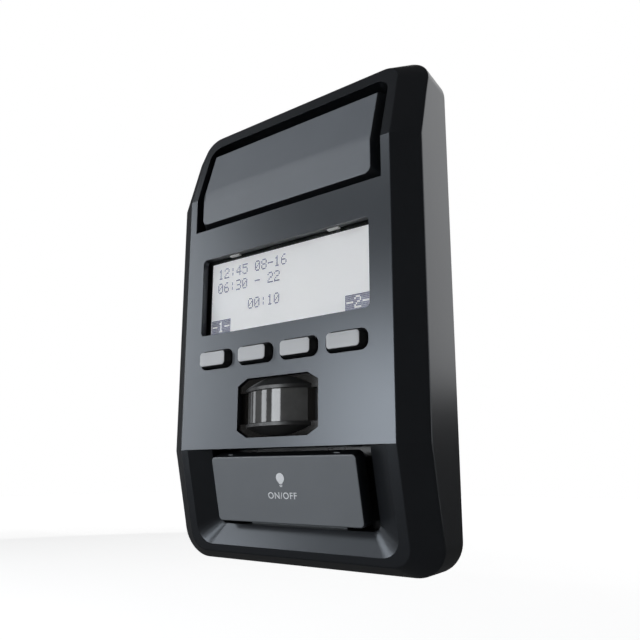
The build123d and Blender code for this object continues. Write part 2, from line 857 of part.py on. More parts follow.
# Switches under the push bar and under the light button
bar_spot = Location((0, 0, bar_switch_height))
light_spot = Location((0, 0, -light_switch_height))
bar_switch = tact_switch(small_switch_half, switch_rise, small_plunger_radius, plunger_sunk)
light_switch = tact_switch(small_switch_half, light_switch_rise, small_plunger_radius, plunger_sunk)
save(bar_switch.moved(bar_spot), "bar_switch")
save(light_switch.moved(light_spot), "light_switch")
bar_plunger = rod(small_plunger_radius, switch_front - plunger_sunk, plunger_front)
light_plunger = rod(small_plunger_radius, light_switch_front - plunger_sunk, light_plunger_front)
save(bar_plunger.moved(bar_spot), "bar_switch_plunger")
save(light_plunger.moved(light_spot), "light_switch_plunger")

# Display: window, clips, glass, backlight, frame and header pins
window_rear = inner_front - window_thickness
glass_rear = window_rear - glass_thickness
backlight_rear = glass_rear - backlight_thickness
glass_half = display_half + glass_margin
glass_low = display_low - glass_margin
glass_high = display_high + glass_margin
display_window = block(
    display_half + window_margin,
    display_low - window_margin,
    display_high + window_margin,
    window_rear,
    inner_front,
    display_radius,
)
save(display_window, "display_window")
clip = block(
    clip_width / 2,
    display_high - clip_drop,
    display_high - clip_drop + clip_thickness,
    inner_front,
    inner_front + clip_reach,
)
with BuildPart() as display_clips:
    for side in (-1, 1):
        add(clip.moved(Location((side * clip_across, 0, 0))))
save(display_clips.part, "display_clips")
save(block(glass_half, glass_low, glass_high, glass_rear, window_rear), "lcd_glass")
save(block(glass_half, glass_low, glass_high, backlight_rear, glass_rear), "lcd_backlight")
header_height = display_low + header_rise
header_half = header_pins * header_pitch / 2
with BuildPart() as display_frame:
    add(
        block(
            display_half + frame_margin,
            display_low - frame_margin,
            display_high + frame_margin,
            board_front,
            window_rear,
            display_radius,
        )
    )
    add(
        block(
            glass_half + fixed_gap,
            glass_low - fixed_gap,
            glass_high + fixed_gap,
            backlight_rear,
            window_rear + overrun,
        ),
        mode=Mode.SUBTRACT,
    )
    add(
        block(
            display_half + frame_margin - frame_wall,
            display_low - frame_margin + frame_wall,
            display_high + frame_margin - frame_wall,
            board_front - overrun,
            backlight_rear - frame_shelf,
        ),
        mode=Mode.SUBTRACT,
    )
    add(
        block(
            header_half,
            header_height - header_pitch / 2,
            header_height + header_pitch / 2,
            backlight_rear - frame_shelf - fine_edge,
            backlight_rear + fine_edge,
        ),
        mode=Mode.SUBTRACT,
    )
save(display_frame.part, "display_frame")
with BuildPart() as lcd_header_pins:
    with BuildSketch(level(board_front)):
        with Locations((0, header_height)):
            with GridLocations(header_pitch, header_pitch, header_pins, 1):
                Rectangle(2 * header_pin_half, 2 * header_pin_half)
    extrude(amount=backlight_rear - board_front)
save(lcd_header_pins.part, "lcd_header_pins")

# Motion sensor: smoked lens, inner lens, holder, sensor can and its pane
lens_axis = depth + lens_bulge - lens_radius
lens_rear = inner_front - lens_flange
lens_base = depth - lens_base_sunk
band_middle = (lens_band_high + lens_band_low) / 2


def barrel_form(inset, band_sunk):
    """Upright barrel drawn in by an inset: a band between two collars, with sloping shoulders."""
    collar = lens_axis + lens_radius - inset
    band = collar - band_sunk
    shoulder = collar - lens_shoulder_drop
    half_height = lens_half_height - fixed_gap - inset
    with BuildPart() as barrel:
        with BuildSketch(Plane.YZ) as profile:
            with BuildLine():
                Polyline(
                    (-lens_axis, lens_middle - half_height),
                    (-shoulder, lens_middle - half_height),
                    (-collar, lens_band_low - lens_collar),
                    (-collar, lens_band_low),
                    (-band, lens_band_low),
                    (-band, lens_band_high),
                    (-collar, lens_band_high),
                    (-collar, lens_band_high + lens_collar),
                    (-shoulder, lens_middle + half_height),
                    (-lens_axis, lens_middle + half_height),
                    close=True,
                )
            make_face()
            if inset == 0:
                fillet(profile.vertices().group_by(Axis.X)[0], lens_collar_edge)
        revolve(axis=Axis((0, -lens_axis, lens_middle), (0, 0, 1)))
    return barrel.part


with BuildPart() as pir_lens:
    add(octagon_block(-fixed_gap, lens_rear, lens_base))
    add(
        block(lens_half + overrun, lens_band_low, lens_band_high, inner_front, depth + overrun),
        mode=Mode.SUBTRACT,
    )
    add(barrel_form(0, lens_band_sunk) & octagon_block(-fixed_gap, lens_rear, depth + lens_bulge + overrun))
    add(octagon_block(lens_flange_margin, lens_rear, inner_front))
    add(
        barrel_form(lens_wall + lens_band_sunk, fine_edge)
        & octagon_block(-fixed_gap - lens_wall, lens_rear - fine_edge, depth + lens_bulge),
        mode=Mode.SUBTRACT,
    )
save(pir_lens.part, "pir_lens")

inner_radius = lens_radius - lens_band_sunk - fine_edge - lens_wall - inner_lens_gap


def strip_form(inset):
    """Upright strip bowed about the lens axis, drawn in by an inset, in front of the holder."""
    with BuildPart() as strip:
        with BuildSketch(Plane.XY.offset(band_middle - inner_lens_half_height)):
            with Locations((0, -lens_axis)):
                Circle(inner_radius - inset)
            with Locations((0, -lens_rear - depth)):
                Rectangle(2 * (inner_lens_half - inset), 2 * depth, mode=Mode.INTERSECT)
        extrude(amount=2 * inner_lens_half_height)
    return strip.part


save(strip_form(0) - strip_form(inner_lens_thickness), "pir_inner_lens")

with BuildPart() as pir_holder:
    add(octagon_block(lens_flange_margin, board_front, lens_rear))
    add(
        octagon_block(lens_flange_margin - holder_wall, board_front - fine_edge, lens_rear - holder_wall),
        mode=Mode.SUBTRACT,
    )
    add(
        block(
            holder_opening_half,
            lens_middle - holder_opening_half_height,
            lens_middle + holder_opening_half_height,
            board_front,
            lens_rear + fine_edge,
        ),
        mode=Mode.SUBTRACT,
    )
save(pir_holder.part, "pir_holder")

sensor_front = board_front + sensor_height
pane = block(
    sensor_pane_half_width,
    lens_middle - sensor_pane_half_height,
    lens_middle + sensor_pane_half_height,
    sensor_front - sensor_pane_thickness,
    sensor_front,
)
with BuildPart() as pir_sensor:
    add(rod(sensor_base_radius, board_front, board_front + sensor_base_height, 0, lens_middle))
    add(rod(sensor_radius, board_front, sensor_front, 0, lens_middle))
    add(pane, mode=Mode.SUBTRACT)
save(pir_sensor.part, "pir_sensor")
save(pane, "pir_sensor_pane")

# Main board and its screws
with BuildPart() as main_board:
    add(block(board_half, board_low, board_high, board_rear, board_front, board_corner_radius))
    with BuildSketch(level(board_rear)):
        with Locations(*board_boss_places):
            Circle(board_screw_radius + contact_gap)
    extrude(amount=board_thickness, mode=Mode.SUBTRACT)
save(main_board.part, "main_board")
board_screw = screw(
    board_screw_head_radius, board_screw_head, board_screw_radius, board_screw_length, board_rear
)
with BuildPart() as board_screws:
    for place in board_boss_places:
        add(board_screw.moved(Location((place[0], 0, place[1]))))
save(board_screws.part, "board_screws")

# Back plate and case screws
plate_half = width / 2 - wall - fixed_gap
plate_end = height / 2 - wall - fixed_gap
with BuildPart() as back_plate:
    add(block(plate_half, -plate_end, plate_end, 0, plate_thickness, corner_radius - wall - fixed_gap))
    with BuildSketch(level(0)):
        with Locations(*case_boss_places):
            Circle(case_screw_radius + contact_gap)
        with Locations((0, wall_screw_height)):
            Circle(wall_screw_radius)
        with Locations((0, lower_screw_height)):
            Circle(wall_screw_radius)
        with Locations((0, lower_screw_height - keyhole_drop)):
            Circle(keyhole_entry_radius)
        with Locations((0, lower_screw_height - keyhole_drop / 2)):
            Rectangle(2 * wall_screw_radius, keyhole_drop)
        with Locations((0, (entry_high + entry_low) / 2)):
            RectangleRounded(2 * entry_half, entry_high - entry_low, entry_radius)
    extrude(amount=plate_thickness, mode=Mode.SUBTRACT)
    with BuildSketch(level(0)):
        with Locations(*case_boss_places):
            Circle(case_head_radius + contact_gap)
    extrude(amount=case_head_sunk, mode=Mode.SUBTRACT)
save(back_plate.part, "back_plate")
case_screw = screw(
    case_head_radius, case_head_height, case_screw_radius, case_screw_length, case_head_sunk
)
with BuildPart() as case_screws:
    for place in case_boss_places:
        add(case_screw.moved(Location((place[0], 0, place[1]))))
save(case_screws.part, "case_screws")

# Wire terminals on the board's rear
terminal_rear = board_rear - terminal_depth
terminal_middle = (terminal_high + terminal_low) / 2
terminal_places = [(side * terminal_pitch / 2, terminal_middle) for side in (-1, 1)]
terminal_screw_rear = terminal_rear + terminal_screw_sunk
wire_depth = terminal_screw_rear + terminal_screw_length + terminal_wire_half
with BuildPart() as terminal_block:
    add(block(terminal_half, terminal_low, terminal_high, terminal_rear, board_rear))
    chamfer(terminal_block.faces().sort_by(Axis.Y)[-1].edges(), soft_edge)
    with BuildSketch(level(terminal_rear)):
        with Locations(*terminal_places):
            Circle(terminal_screw_radius + running_gap)
    extrude(amount=terminal_screw_sunk + terminal_screw_length, mode=Mode.SUBTRACT)
    with BuildSketch(Plane.XY.offset(terminal_low)):
        with Locations(*[(place[0], -wire_depth) for place in terminal_places]):
            Rectangle(2 * terminal_wire_half, 2 * terminal_wire_half)
    extrude(amount=terminal_middle - terminal_low + terminal_screw_radius, mode=Mode.SUBTRACT)
save(terminal_block.part, "terminal_block")
with BuildPart() as terminal_screws:
    with BuildSketch(level(terminal_screw_rear)):
        with Locations(*terminal_places):
            Circle(terminal_screw_radius)
    extrude(amount=terminal_screw_length)
    with BuildSketch(level(terminal_screw_rear)):
        with Locations(*terminal_places):
            Rectangle(2 * terminal_screw_radius, terminal_slot)
    extrude(amount=terminal_slot, mode=Mode.SUBTRACT)
save(terminal_screws.part, "terminal_screws")

# Controller chip with its legs
chip_rear = board_front + chip_leg_thickness
chip_front = board_front + chip_rise
leg_front = (chip_rear + chip_front) / 2 + chip_leg_thickness / 2
with BuildPart() as microcontroller:
    with BuildSketch(level(chip_rear)):
        with Locations((chip_across, chip_height)):
            Rectangle(2 * chip_half, 2 * chip_half)
    extrude(amount=chip_front - chip_rear)
    chamfer(microcontroller.faces().sort_by(Axis.Y)[0].edges(), fine_edge)
save(microcontroller.part, "microcontroller")
with BuildPart() as leg:
    with BuildSketch(level(leg_front - chip_leg_thickness)):
        with Locations((chip_half + chip_leg_reach / 2, 0)):
            Rectangle(chip_leg_reach, chip_leg_width)
    extrude(amount=chip_leg_thickness)
    with BuildSketch(level(board_front)):
        with Locations((chip_half + chip_leg_reach - chip_leg_thickness / 2, 0)):
            Rectangle(chip_leg_thickness, chip_leg_width)
    extrude(amount=leg_front - board_front)
with BuildPart() as microcontroller_legs:
    for side in range(chip_sides):
        for number in range(chip_legs):
            slide = (number - (chip_legs - 1) / 2) * chip_leg_pitch
            turned = leg.part.moved(Location((0, 0, slide))).rotate(Axis.Y, side * 360 / chip_sides)
            add(turned.moved(Location((chip_across, 0, chip_height))))
save(microcontroller_legs.part, "microcontroller_legs")

# Capacitors, crystal and small chip parts
with BuildPart() as board_capacitors:
    for place in capacitor_heights:
        add(rod(capacitor_radius, board_front, board_front + capacitor_rise, capacitor_across, place))
    fillet(board_capacitors.faces().filter_by(Axis.Y).group_by(Axis.Y)[0].edges(), soft_edge)
save(board_capacitors.part, "board_capacitors")
with BuildPart() as board_crystal:
    with BuildSketch(level(board_front)):
        with Locations((crystal_across, crystal_height)):
            SlotOverall(2 * crystal_half_width, 2 * crystal_half_height)
    extrude(amount=crystal_rise)
    fillet(board_crystal.faces().sort_by(Axis.Y)[0].edges(), soft_edge)
save(board_crystal.part, "board_crystal")
with BuildPart() as board_chip_parts:
    with BuildSketch(level(board_front)):
        with Locations((0, chip_part_height)):
            with GridLocations(chip_part_pitch, chip_part_pitch, chip_part_columns, chip_part_rows):
                Rectangle(2 * chip_part_half_width, 2 * chip_part_half_height)
    extrude(amount=chip_part_rise)
save(board_chip_parts.part, "board_chip_parts")
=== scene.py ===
import logging
from dataclasses import dataclass, field
from enum import Enum
from math import cos, hypot, pi, radians, sin, tan
from typing import Callable, Iterable

import bmesh
import bpy
from mathutils import Matrix, Vector


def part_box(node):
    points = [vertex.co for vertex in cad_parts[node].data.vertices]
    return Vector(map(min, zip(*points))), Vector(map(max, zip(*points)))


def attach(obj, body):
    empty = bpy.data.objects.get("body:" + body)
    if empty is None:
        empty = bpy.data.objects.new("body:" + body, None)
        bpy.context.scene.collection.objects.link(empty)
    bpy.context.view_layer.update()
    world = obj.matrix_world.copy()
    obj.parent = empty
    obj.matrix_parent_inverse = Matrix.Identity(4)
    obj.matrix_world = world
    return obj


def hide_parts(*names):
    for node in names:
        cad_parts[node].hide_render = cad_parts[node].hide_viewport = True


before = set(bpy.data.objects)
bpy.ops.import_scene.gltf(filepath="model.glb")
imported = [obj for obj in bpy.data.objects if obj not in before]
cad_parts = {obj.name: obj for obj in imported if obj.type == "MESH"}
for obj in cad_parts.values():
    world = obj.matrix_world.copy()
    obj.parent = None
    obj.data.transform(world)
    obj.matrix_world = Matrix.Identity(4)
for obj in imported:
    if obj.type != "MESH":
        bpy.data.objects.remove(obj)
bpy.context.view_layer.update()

log = logging.getLogger("controller")

# X runs to the right, Y into the wall and Z up, in metres, so the controls face -Y.
# A depth is measured from the wall along -Y. A scale is in repeats per metre.
MM = 0.001

Colour = tuple[float, float, float]
WHITE = (1.0, 1.0, 1.0, 1.0)


class Body(str, Enum):
    """Bodies of the frame that the pieces ride on."""

    HOUSING = "housing"
    BAR = "push_bar"
    LIGHT = "light_button"


class Axis(Enum):
    """Directions that a pattern can be drawn out along."""

    X = 0
    Y = 1


# Shader groups

# Places of the sockets of a colour mix
MIX_SHARE = 0
MIX_FIRST = 6
MIX_SECOND = 7
MIX_RESULT = 2


@dataclass(frozen=True)
class Socket:
    """One named socket of a shader group."""

    name: str
    kind: str = "NodeSocketFloat"
    start: float | tuple[float, ...] | None = None


class Recipe:
    """A node tree under construction, of a material or of a shader group."""

    def __init__(self, tree: bpy.types.NodeTree) -> None:
        """Keeps the tree that the nodes go into."""
        self.tree = tree

    def node(self, kind: str, **settings: object) -> bpy.types.Node:
        """Adds a node.

        Args:
            kind: Blender's type name of the node.
            settings: Attributes to set on it.

        Returns:
            The new node.
        """
        made = self.tree.nodes.new(kind)
        for key, value in settings.items():
            setattr(made, key, value)
        return made

    def put(self, socket: bpy.types.NodeSocket, value: object) -> None:
        """Sets an input to a value or to another node's output.

        Args:
            socket: The input.
            value: The value or the output.
        """
        if isinstance(value, bpy.types.NodeSocket):
            self.tree.links.new(value, socket)
        else:
            socket.default_value = value

    def feed(self, node: bpy.types.Node, **inputs: object) -> bpy.types.Node:
        """Sets a node's inputs by name.

        Args:
            node: The node whose inputs are set.
            inputs: Input names, with underscores for spaces, and the value or the output for each.

        Returns:
            The same node.
        """
        for key, value in inputs.items():
            self.put(node.inputs[key.replace("_", " ")], value)
        return node

    def group(self, tree: bpy.types.NodeTree, **inputs: object) -> object:
        """Adds a shader group, sets its inputs as feed does and gives its outputs."""
        return self.feed(self.node("ShaderNodeGroup", node_tree=tree), **inputs).outputs

    def calculate(self, operation: str, *values: object) -> bpy.types.NodeSocket:
        """Adds a Math node.

        Args:
            operation: Blender's name of the operation.
            values: The values or outputs that it works on.

        Returns:
            The node's output.
        """
        made = self.node("ShaderNodeMath", operation=operation)
        for socket, value in zip(made.inputs, values):
            self.put(socket, value)
        return made.outputs[0]

    def ramp(self, value: bpy.types.NodeSocket, low: float, high: float) -> bpy.types.NodeSocket:
        """Stretches a value so that low becomes 0 and high becomes 1.

        Args:
            value: The value to stretch.
            low: Where the result starts.
            high: Where the result ends.

        Returns:
            The stretched value.
        """
        made = self.node("ShaderNodeMapRange", clamp=True)
        self.feed(made, Value=value, From_Min=low, From_Max=high)
        return made.outputs["Result"]

    def blend(
        self, share: object, first: object, second: object, kind: str = "MIX"
    ) -> bpy.types.NodeSocket:
        """Blends two colours.

        Args:
            share: How much of the second colour is blended in.
            first: The first colour, or an output.
            second: The second colour, or an output.
            kind: Blender's name of the way to blend.

        Returns:
            The blended colour.
        """
        made = self.node("ShaderNodeMix", data_type="RGBA", blend_type=kind)
        for place, value in ((MIX_SHARE, share), (MIX_FIRST, first), (MIX_SECOND, second)):
            self.put(made.inputs[place], value)
        return made.outputs[MIX_RESULT]

    def bump(self, height: object, distance: float, strength: float = 1.0) -> bpy.types.NodeSocket:
        """Adds a Bump node and gives its normal. The distance is what a height of 1 stands for."""
        made = self.node("ShaderNodeBump")
        return self.feed(made, Strength=strength, Distance=distance, Height=height).outputs["Normal"]

    def seen_directly(self) -> bpy.types.NodeSocket:
        """Adds a mask that is 1 for camera, mirror and glass rays and 0 for others.

        Returns:
            The mask.
        """
        path = self.node("ShaderNodeLightPath").outputs
        mirror = self.calculate("MAXIMUM", path["Is Glossy Ray"], path["Is Transmission Ray"])
        return self.calculate("MAXIMUM", path["Is Camera Ray"], mirror)


def shader_group(
    name: str,
    inputs: Iterable[Socket],
    outputs: Iterable[Socket],
    draw: Callable[[Recipe, object, bpy.types.Node], None],
) -> bpy.types.NodeTree:
    """Makes a shader node group once and returns it at every later call.

    Args:
        name: Name of the group.
        inputs: Its input sockets.
        outputs: Its output sockets.
        draw: Fills the group, from its recipe, its input node's outputs and its output node.

    Returns:
        The group.
    """
    known = bpy.data.node_groups.get(name)
    if known:
        return known
    group = bpy.data.node_groups.new(name, "ShaderNodeTree")
    for side, sockets in (("INPUT", inputs), ("OUTPUT", outputs)):
        for socket in sockets:
            made = group.interface.new_socket(socket.name, in_out=side, socket_type=socket.kind)
            if socket.start is not None:
                made.default_value = socket.start
    recipe = Recipe(group)
    entry = recipe.node("NodeGroupInput")
    end = recipe.node("NodeGroupOutput")
    draw(recipe, entry.outputs, end)
    return group


def moulded_grain() -> bpy.types.NodeTree:
    """Fine spark-eroded grain of a moulding: a height, and a roughness that wanders in patches.

    Returns:
        The group.
    """
    finer, fine_share, middle = 2.7, 0.6, 0.5

    def draw(recipe: Recipe, given: object, end: bpy.types.Node) -> None:
        """Two noises of different pitch, summed.

        Args:
            recipe: Tree of the group.
            given: Outputs of its input node.
            end: Its output node.
        """
        place = given["Vector"]
        coarse = recipe.node("ShaderNodeTexNoise")
        recipe.feed(coarse, Vector=place, Scale=given["Scale"], Detail=2.0, Roughness=0.6)
        fine = recipe.node("ShaderNodeTexVoronoi", feature="SMOOTH_F1")
        fine_scale = recipe.calculate("MULTIPLY", given["Scale"], finer)
        recipe.feed(fine, Vector=place, Scale=fine_scale, Smoothness=0.6)
        fine_height = recipe.calculate("MULTIPLY", fine.outputs["Distance"], fine_share)
        broad = recipe.node("ShaderNodeTexNoise")
        recipe.feed(broad, Vector=place, Scale=given["Patch Scale"], Detail=3.0, Roughness=0.55)
        swing = recipe.calculate("SUBTRACT", broad.outputs["Fac"], middle)
        drift = recipe.calculate("MULTIPLY", swing, given["Patches"])
        recipe.feed(
            end,
            Height=recipe.calculate("ADD", coarse.outputs["Fac"], fine_height),
            Roughness=recipe.calculate("ADD", given["Roughness"], drift),
        )

    return shader_group(
        "moulded grain",
        (
            Socket("Vector", "NodeSocketVector"),
            Socket("Scale", start=2500.0),
            Socket("Patch Scale", start=60.0),
            Socket("Patches", start=0.1),
            Socket("Roughness", start=0.45),
        ),
        (Socket("Height"), Socket("Roughness")),
        draw,
    )


def tone_drift() -> bpy.types.NodeTree:
    """Colour that wanders a little over a piece, as pigment and handling make it.

    Returns:
        The group.
    """
    all_dark, all_light = 0.3, 0.7

    def draw(recipe: Recipe, given: object, end: bpy.types.Node) -> None:
        """Slow noise between a darker and a lighter tone.

        Args:
            recipe: Tree of the group.
            given: Outputs of its input node.
            end: Its output node.
        """
        noise = recipe.node("ShaderNodeTexNoise")
        recipe.feed(noise, Vector=given["Vector"], Scale=given["Scale"], Detail=4.0, Roughness=0.6)
        share = recipe.ramp(noise.outputs["Fac"], all_dark, all_light)
        recipe.feed(end, Color=recipe.blend(share, given["Dark"], given["Light"]))

    return shader_group(
        "tone drift",
        (
            Socket("Vector", "NodeSocketVector"),
            Socket("Scale", start=40.0),
            Socket("Dark", "NodeSocketColor"),
            Socket("Light", "NodeSocketColor"),
        ),
        (Socket("Color", "NodeSocketColor"),),
        draw,
    )


def fine_lines() -> bpy.types.NodeTree:
    """Hairline marks drawn out along one direction, as brushing and wiping leave them.

    Returns:
        The group.
    """
    no_line, full_line = 0.45, 0.72

    def draw(recipe: Recipe, given: object, end: bpy.types.Node) -> None:
        """Stretched noise, thinned to lines.

        Args:
            recipe: Tree of the group.
            given: Outputs of its input node.
            end: Its output node.
        """
        mapping = recipe.node("ShaderNodeMapping")
        recipe.feed(mapping, Vector=given["Vector"], Scale=given["Stretch"])
        noise = recipe.node("ShaderNodeTexNoise")
        place = mapping.outputs["Vector"]
        recipe.feed(noise, Vector=place, Scale=given["Scale"], Detail=3.0, Roughness=0.7)
        recipe.feed(end, Mask=recipe.ramp(noise.outputs["Fac"], no_line, full_line))

    return shader_group(
        "fine lines",
        (
            Socket("Vector", "NodeSocketVector"),
            Socket("Stretch", "NodeSocketVector", (1.0, 1.0, 1.0)),
            Socket("Scale", start=2000.0),
        ),
        (Socket("Mask"),),
        draw,
    )


# Finishes


def shade(colour: Colour, factor: float) -> Colour:
    """A colour made darker or lighter."""
    return tuple(min(1.0, part * factor) for part in colour)


class MaterialRecipe(Recipe):
    """The node tree of a new material, with its Principled shader and its Object coordinates."""

    def __init__(self, name: str) -> None:
        """Starts the material.

        Args:
            name: Name of the material.
        """
        self.material = bpy.data.materials.new(name)
        self.material.use_nodes = True
        super().__init__(self.material.node_tree)
        self.shader = next(node for node in self.tree.nodes if node.type == "BSDF_PRINCIPLED")
        self.place = self.node("ShaderNodeTexCoord").outputs["Object"]

    def between(self, scale: float, dark: Colour, light: Colour) -> bpy.types.NodeSocket:
        """Adds a colour that wanders between two tones."""
        dark, light = (*dark, 1.0), (*light, 1.0)
        return self.group(tone_drift(), Vector=self.place, Scale=scale, Dark=dark, Light=light)["Color"]

    def about(self, scale: float, colour: Colour, drift: float) -> bpy.types.NodeSocket:
        """Adds a colour that wanders about a middle tone."""
        return self.between(scale, shade(colour, 1 - drift), shade(colour, 1 + drift))

    def grain(self, scale: float, patches: float, roughness: float) -> object:
        """Adds the grain of a moulding, with its height and its roughness as outputs."""
        sizes = {"Scale": scale, "Patches": patches, "Roughness": roughness}
        return self.group(moulded_grain(), Vector=self.place, **sizes)

    def lines(self, scale: float, stretch: tuple[float, ...]) -> bpy.types.NodeSocket:
        """Adds a mask of fine lines."""
        return self.group(fine_lines(), Vector=self.place, Scale=scale, Stretch=stretch)["Mask"]

    def finish(self, **inputs: object) -> None:
        """Sets the shader's inputs, as feed does."""
        self.feed(self.shader, **inputs)


@dataclass(frozen=True)
class Finish:
    """A procedural material, which each kind of finish draws in its own way."""

    name: str

    def draw(self, recipe: MaterialRecipe) -> None:
        """Draws the finish into the tree of its material."""
        raise NotImplementedError

    def material(self) -> bpy.types.Material:
        """Builds the material.

        Returns:
            The finished material.
        """
        recipe = MaterialRecipe(self.name)
        self.draw(recipe)
        return recipe.material


@dataclass(frozen=True)
class MouldedPlastic(Finish):
    """Injection-moulded plastic with its tool's grain, a slow drift of tone and faint wiping marks."""

    colour: Colour
    roughness: float = 0.42
    drift: float = 0.12
    drift_scale: float = 38.0
    patches: float = 0.08
    grain_pitch: float = 0.32 * MM
    grain_height: float = 0.004 * MM
    marks: float = 0.01
    mark_scale: float = 900.0
    mark_stretch: float = 0.06
    specular: float = 0.5
    tint: Colour = (1.0, 1.0, 1.0)
    translucence: float = 0.0

    def draw(self, recipe: MaterialRecipe) -> None:
        """Draws the plastic.

        Args:
            recipe: Tree of its material.
        """
        grain = recipe.grain(1 / self.grain_pitch, self.patches, self.roughness)
        lines = recipe.lines(self.mark_scale, (1.0, 1.0, self.mark_stretch))
        rubbed = recipe.calculate("MULTIPLY", lines, -self.marks)
        recipe.finish(
            Base_Color=recipe.about(self.drift_scale, self.colour, self.drift),
            Roughness=recipe.calculate("ADD", grain["Roughness"], rubbed),
            Normal=recipe.bump(grain["Height"], self.grain_height),
            Specular_IOR_Level=self.specular,
            Specular_Tint=(*self.tint, 1.0),
            Subsurface_Weight=self.translucence,
        )
        if self.translucence:
            recipe.finish(Subsurface_Radius=(1.0, 1.0, 1.0), Subsurface_Scale=1.0 * MM)


@dataclass(frozen=True)
class ClearPlate(Finish):
    """Clear polished sheet."""

    tint: Colour = (1.0, 1.0, 1.0)
    roughness: float = 0.02
    refraction: float = 1.49
    grain_scale: float = 900.0
    patches: float = 0.02

    def draw(self, recipe: MaterialRecipe) -> None:
        """Draws the sheet.

        Args:
            recipe: Tree of its material.
        """
        recipe.finish(
            Base_Color=(*self.tint, 1.0),
            Roughness=recipe.grain(self.grain_scale, self.patches, self.roughness)["Roughness"],
            IOR=self.refraction,
            Transmission_Weight=1.0,
        )


@dataclass(frozen=True)
class SmokedGloss(Finish):
    """Dark polished plastic of the motion sensor's lens, with the faint ripple of a moulded barrel."""

    colour: Colour = (0.012, 0.011, 0.010)
    roughness: float = 0.07
    dark_share: float = 0.8
    light_share: float = 1.25
    drift_scale: float = 120.0
    patches: float = 0.05
    ripple_pitch: float = 2.0 * MM
    ripple_height: float = 0.002 * MM
    refraction: float = 1.6

    def draw(self, recipe: MaterialRecipe) -> None:
        """Draws the plastic.

        Args:
            recipe: Tree of its material.
        """
        dark, light = shade(self.colour, self.dark_share), shade(self.colour, self.light_share)
        grain = recipe.grain(1 / self.ripple_pitch, self.patches, self.roughness)
        recipe.finish(
            Base_Color=recipe.between(self.drift_scale, dark, light),
            Roughness=grain["Roughness"],
            Normal=recipe.bump(grain["Height"], self.ripple_height),
            IOR=self.refraction,
        )


@dataclass(frozen=True)
class DisplayCell(Finish):
    """Pale liquid crystal cell: a fine lattice of dots over a softly uneven, faintly lilac ground, which
    also glows a little as painted light that brightens the cell.
    """

    ground: Colour = (0.86, 0.86, 0.86)
    cool: Colour = (0.79, 0.80, 0.82)
    gap_colour: Colour = (0.2, 0.22, 0.3)
    drift_scale: float = 28.0
    dot_pitch: float = 0.36 * MM
    gap_share: float = 0.06
    lattice: float = 0.05
    # painted light: how strongly the cell glows, brightening it behind the window
    glow: float = 0.33
    roughness: float = 0.3

    def draw(self, recipe: MaterialRecipe) -> None:
        """Draws the cell.

        Args:
            recipe: Tree of its material.
        """
        split = recipe.feed(recipe.node("ShaderNodeSeparateXYZ"), Vector=recipe.place).outputs
        gaps = []
        for axis in ("X", "Z"):
            phase = recipe.calculate("MULTIPLY", split[axis], 1 / self.dot_pitch)
            wave = recipe.calculate("PINGPONG", phase, 0.5)
            gaps.append(recipe.ramp(wave, self.gap_share, 0.0))
        gap = recipe.calculate("MULTIPLY", recipe.calculate("MAXIMUM", *gaps), self.lattice)
        tone = recipe.between(self.drift_scale, self.cool, self.ground)
        colour = recipe.blend(gap, tone, (*self.gap_colour, 1.0), "MULTIPLY")
        recipe.finish(
            Base_Color=colour,
            Roughness=self.roughness,
            # The emission is painted light that brightens the cell.
            Emission_Color=colour,
            Emission_Strength=self.glow,
        )


@dataclass(frozen=True)
class Ink(Finish):
    """Printed or liquid crystal marks, with a slightly broken tone."""

    colour: Colour
    roughness: float = 0.5
    drift: float = 0.15
    drift_scale: float = 1500.0

    def draw(self, recipe: MaterialRecipe) -> None:
        """Draws the ink."""
        tone = recipe.about(self.drift_scale, self.colour, self.drift)
        recipe.finish(Base_Color=tone, Roughness=self.roughness)


@dataclass(frozen=True)
class Metal(Finish):
    """Turned, rolled or plated metal with lines along one direction."""

    colour: Colour
    roughness: float = 0.3
    along: Axis = Axis.Y
    line_scale: float = 4000.0
    line_stretch: float = 0.05
    line_roughness: float = 0.12
    groove: float = 0.005 * MM
    groove_share: float = 0.4
    tarnish: float = 0.12
    tarnish_scale: float = 220.0

    def draw(self, recipe: MaterialRecipe) -> None:
        """Draws the metal.

        Args:
            recipe: Tree of its material.
        """
        stretch = [1.0, 1.0, 1.0]
        stretch[self.along.value] = self.line_stretch
        lines = recipe.lines(self.line_scale, tuple(stretch))
        rubbed = recipe.calculate("MULTIPLY", lines, self.line_roughness)
        recipe.finish(
            Base_Color=recipe.about(self.tarnish_scale, self.colour, self.tarnish),
            Metallic=1.0,
            Roughness=recipe.calculate("ADD", rubbed, self.roughness),
            Normal=recipe.bump(lines, self.groove, self.groove_share),
        )


@dataclass(frozen=True)
class Laminate(Finish):
    """Circuit board: solder mask over copper tracks that show through as paler, raised lines."""

    mask: Colour = (0.006, 0.007, 0.008)
    track: Colour = (0.014, 0.015, 0.016)
    track_pitch: float = 2.4 * MM
    track_height: float = 0.03 * MM
    wander: float = 0.35
    line_foot: float = 0.12
    line_top: float = 0.07
    grain_scale: float = 1200.0
    patches: float = 0.1
    roughness: float = 0.28
    coat: float = 0.3
    coat_roughness: float = 0.2

    def draw(self, recipe: MaterialRecipe) -> None:
        """Draws the board.

        Args:
            recipe: Tree of its material.
        """
        cells = recipe.node("ShaderNodeTexVoronoi", feature="DISTANCE_TO_EDGE")
        recipe.feed(cells, Vector=recipe.place, Scale=1 / self.track_pitch, Randomness=self.wander)
        line = recipe.ramp(cells.outputs["Distance"], self.line_foot, self.line_top)
        grain = recipe.grain(self.grain_scale, self.patches, self.roughness)
        recipe.finish(
            Base_Color=recipe.blend(line, (*self.mask, 1.0), (*self.track, 1.0)),
            Roughness=grain["Roughness"],
            Normal=recipe.bump(line, self.track_height),
            Coat_Weight=self.coat,
            Coat_Roughness=self.coat_roughness,
        )


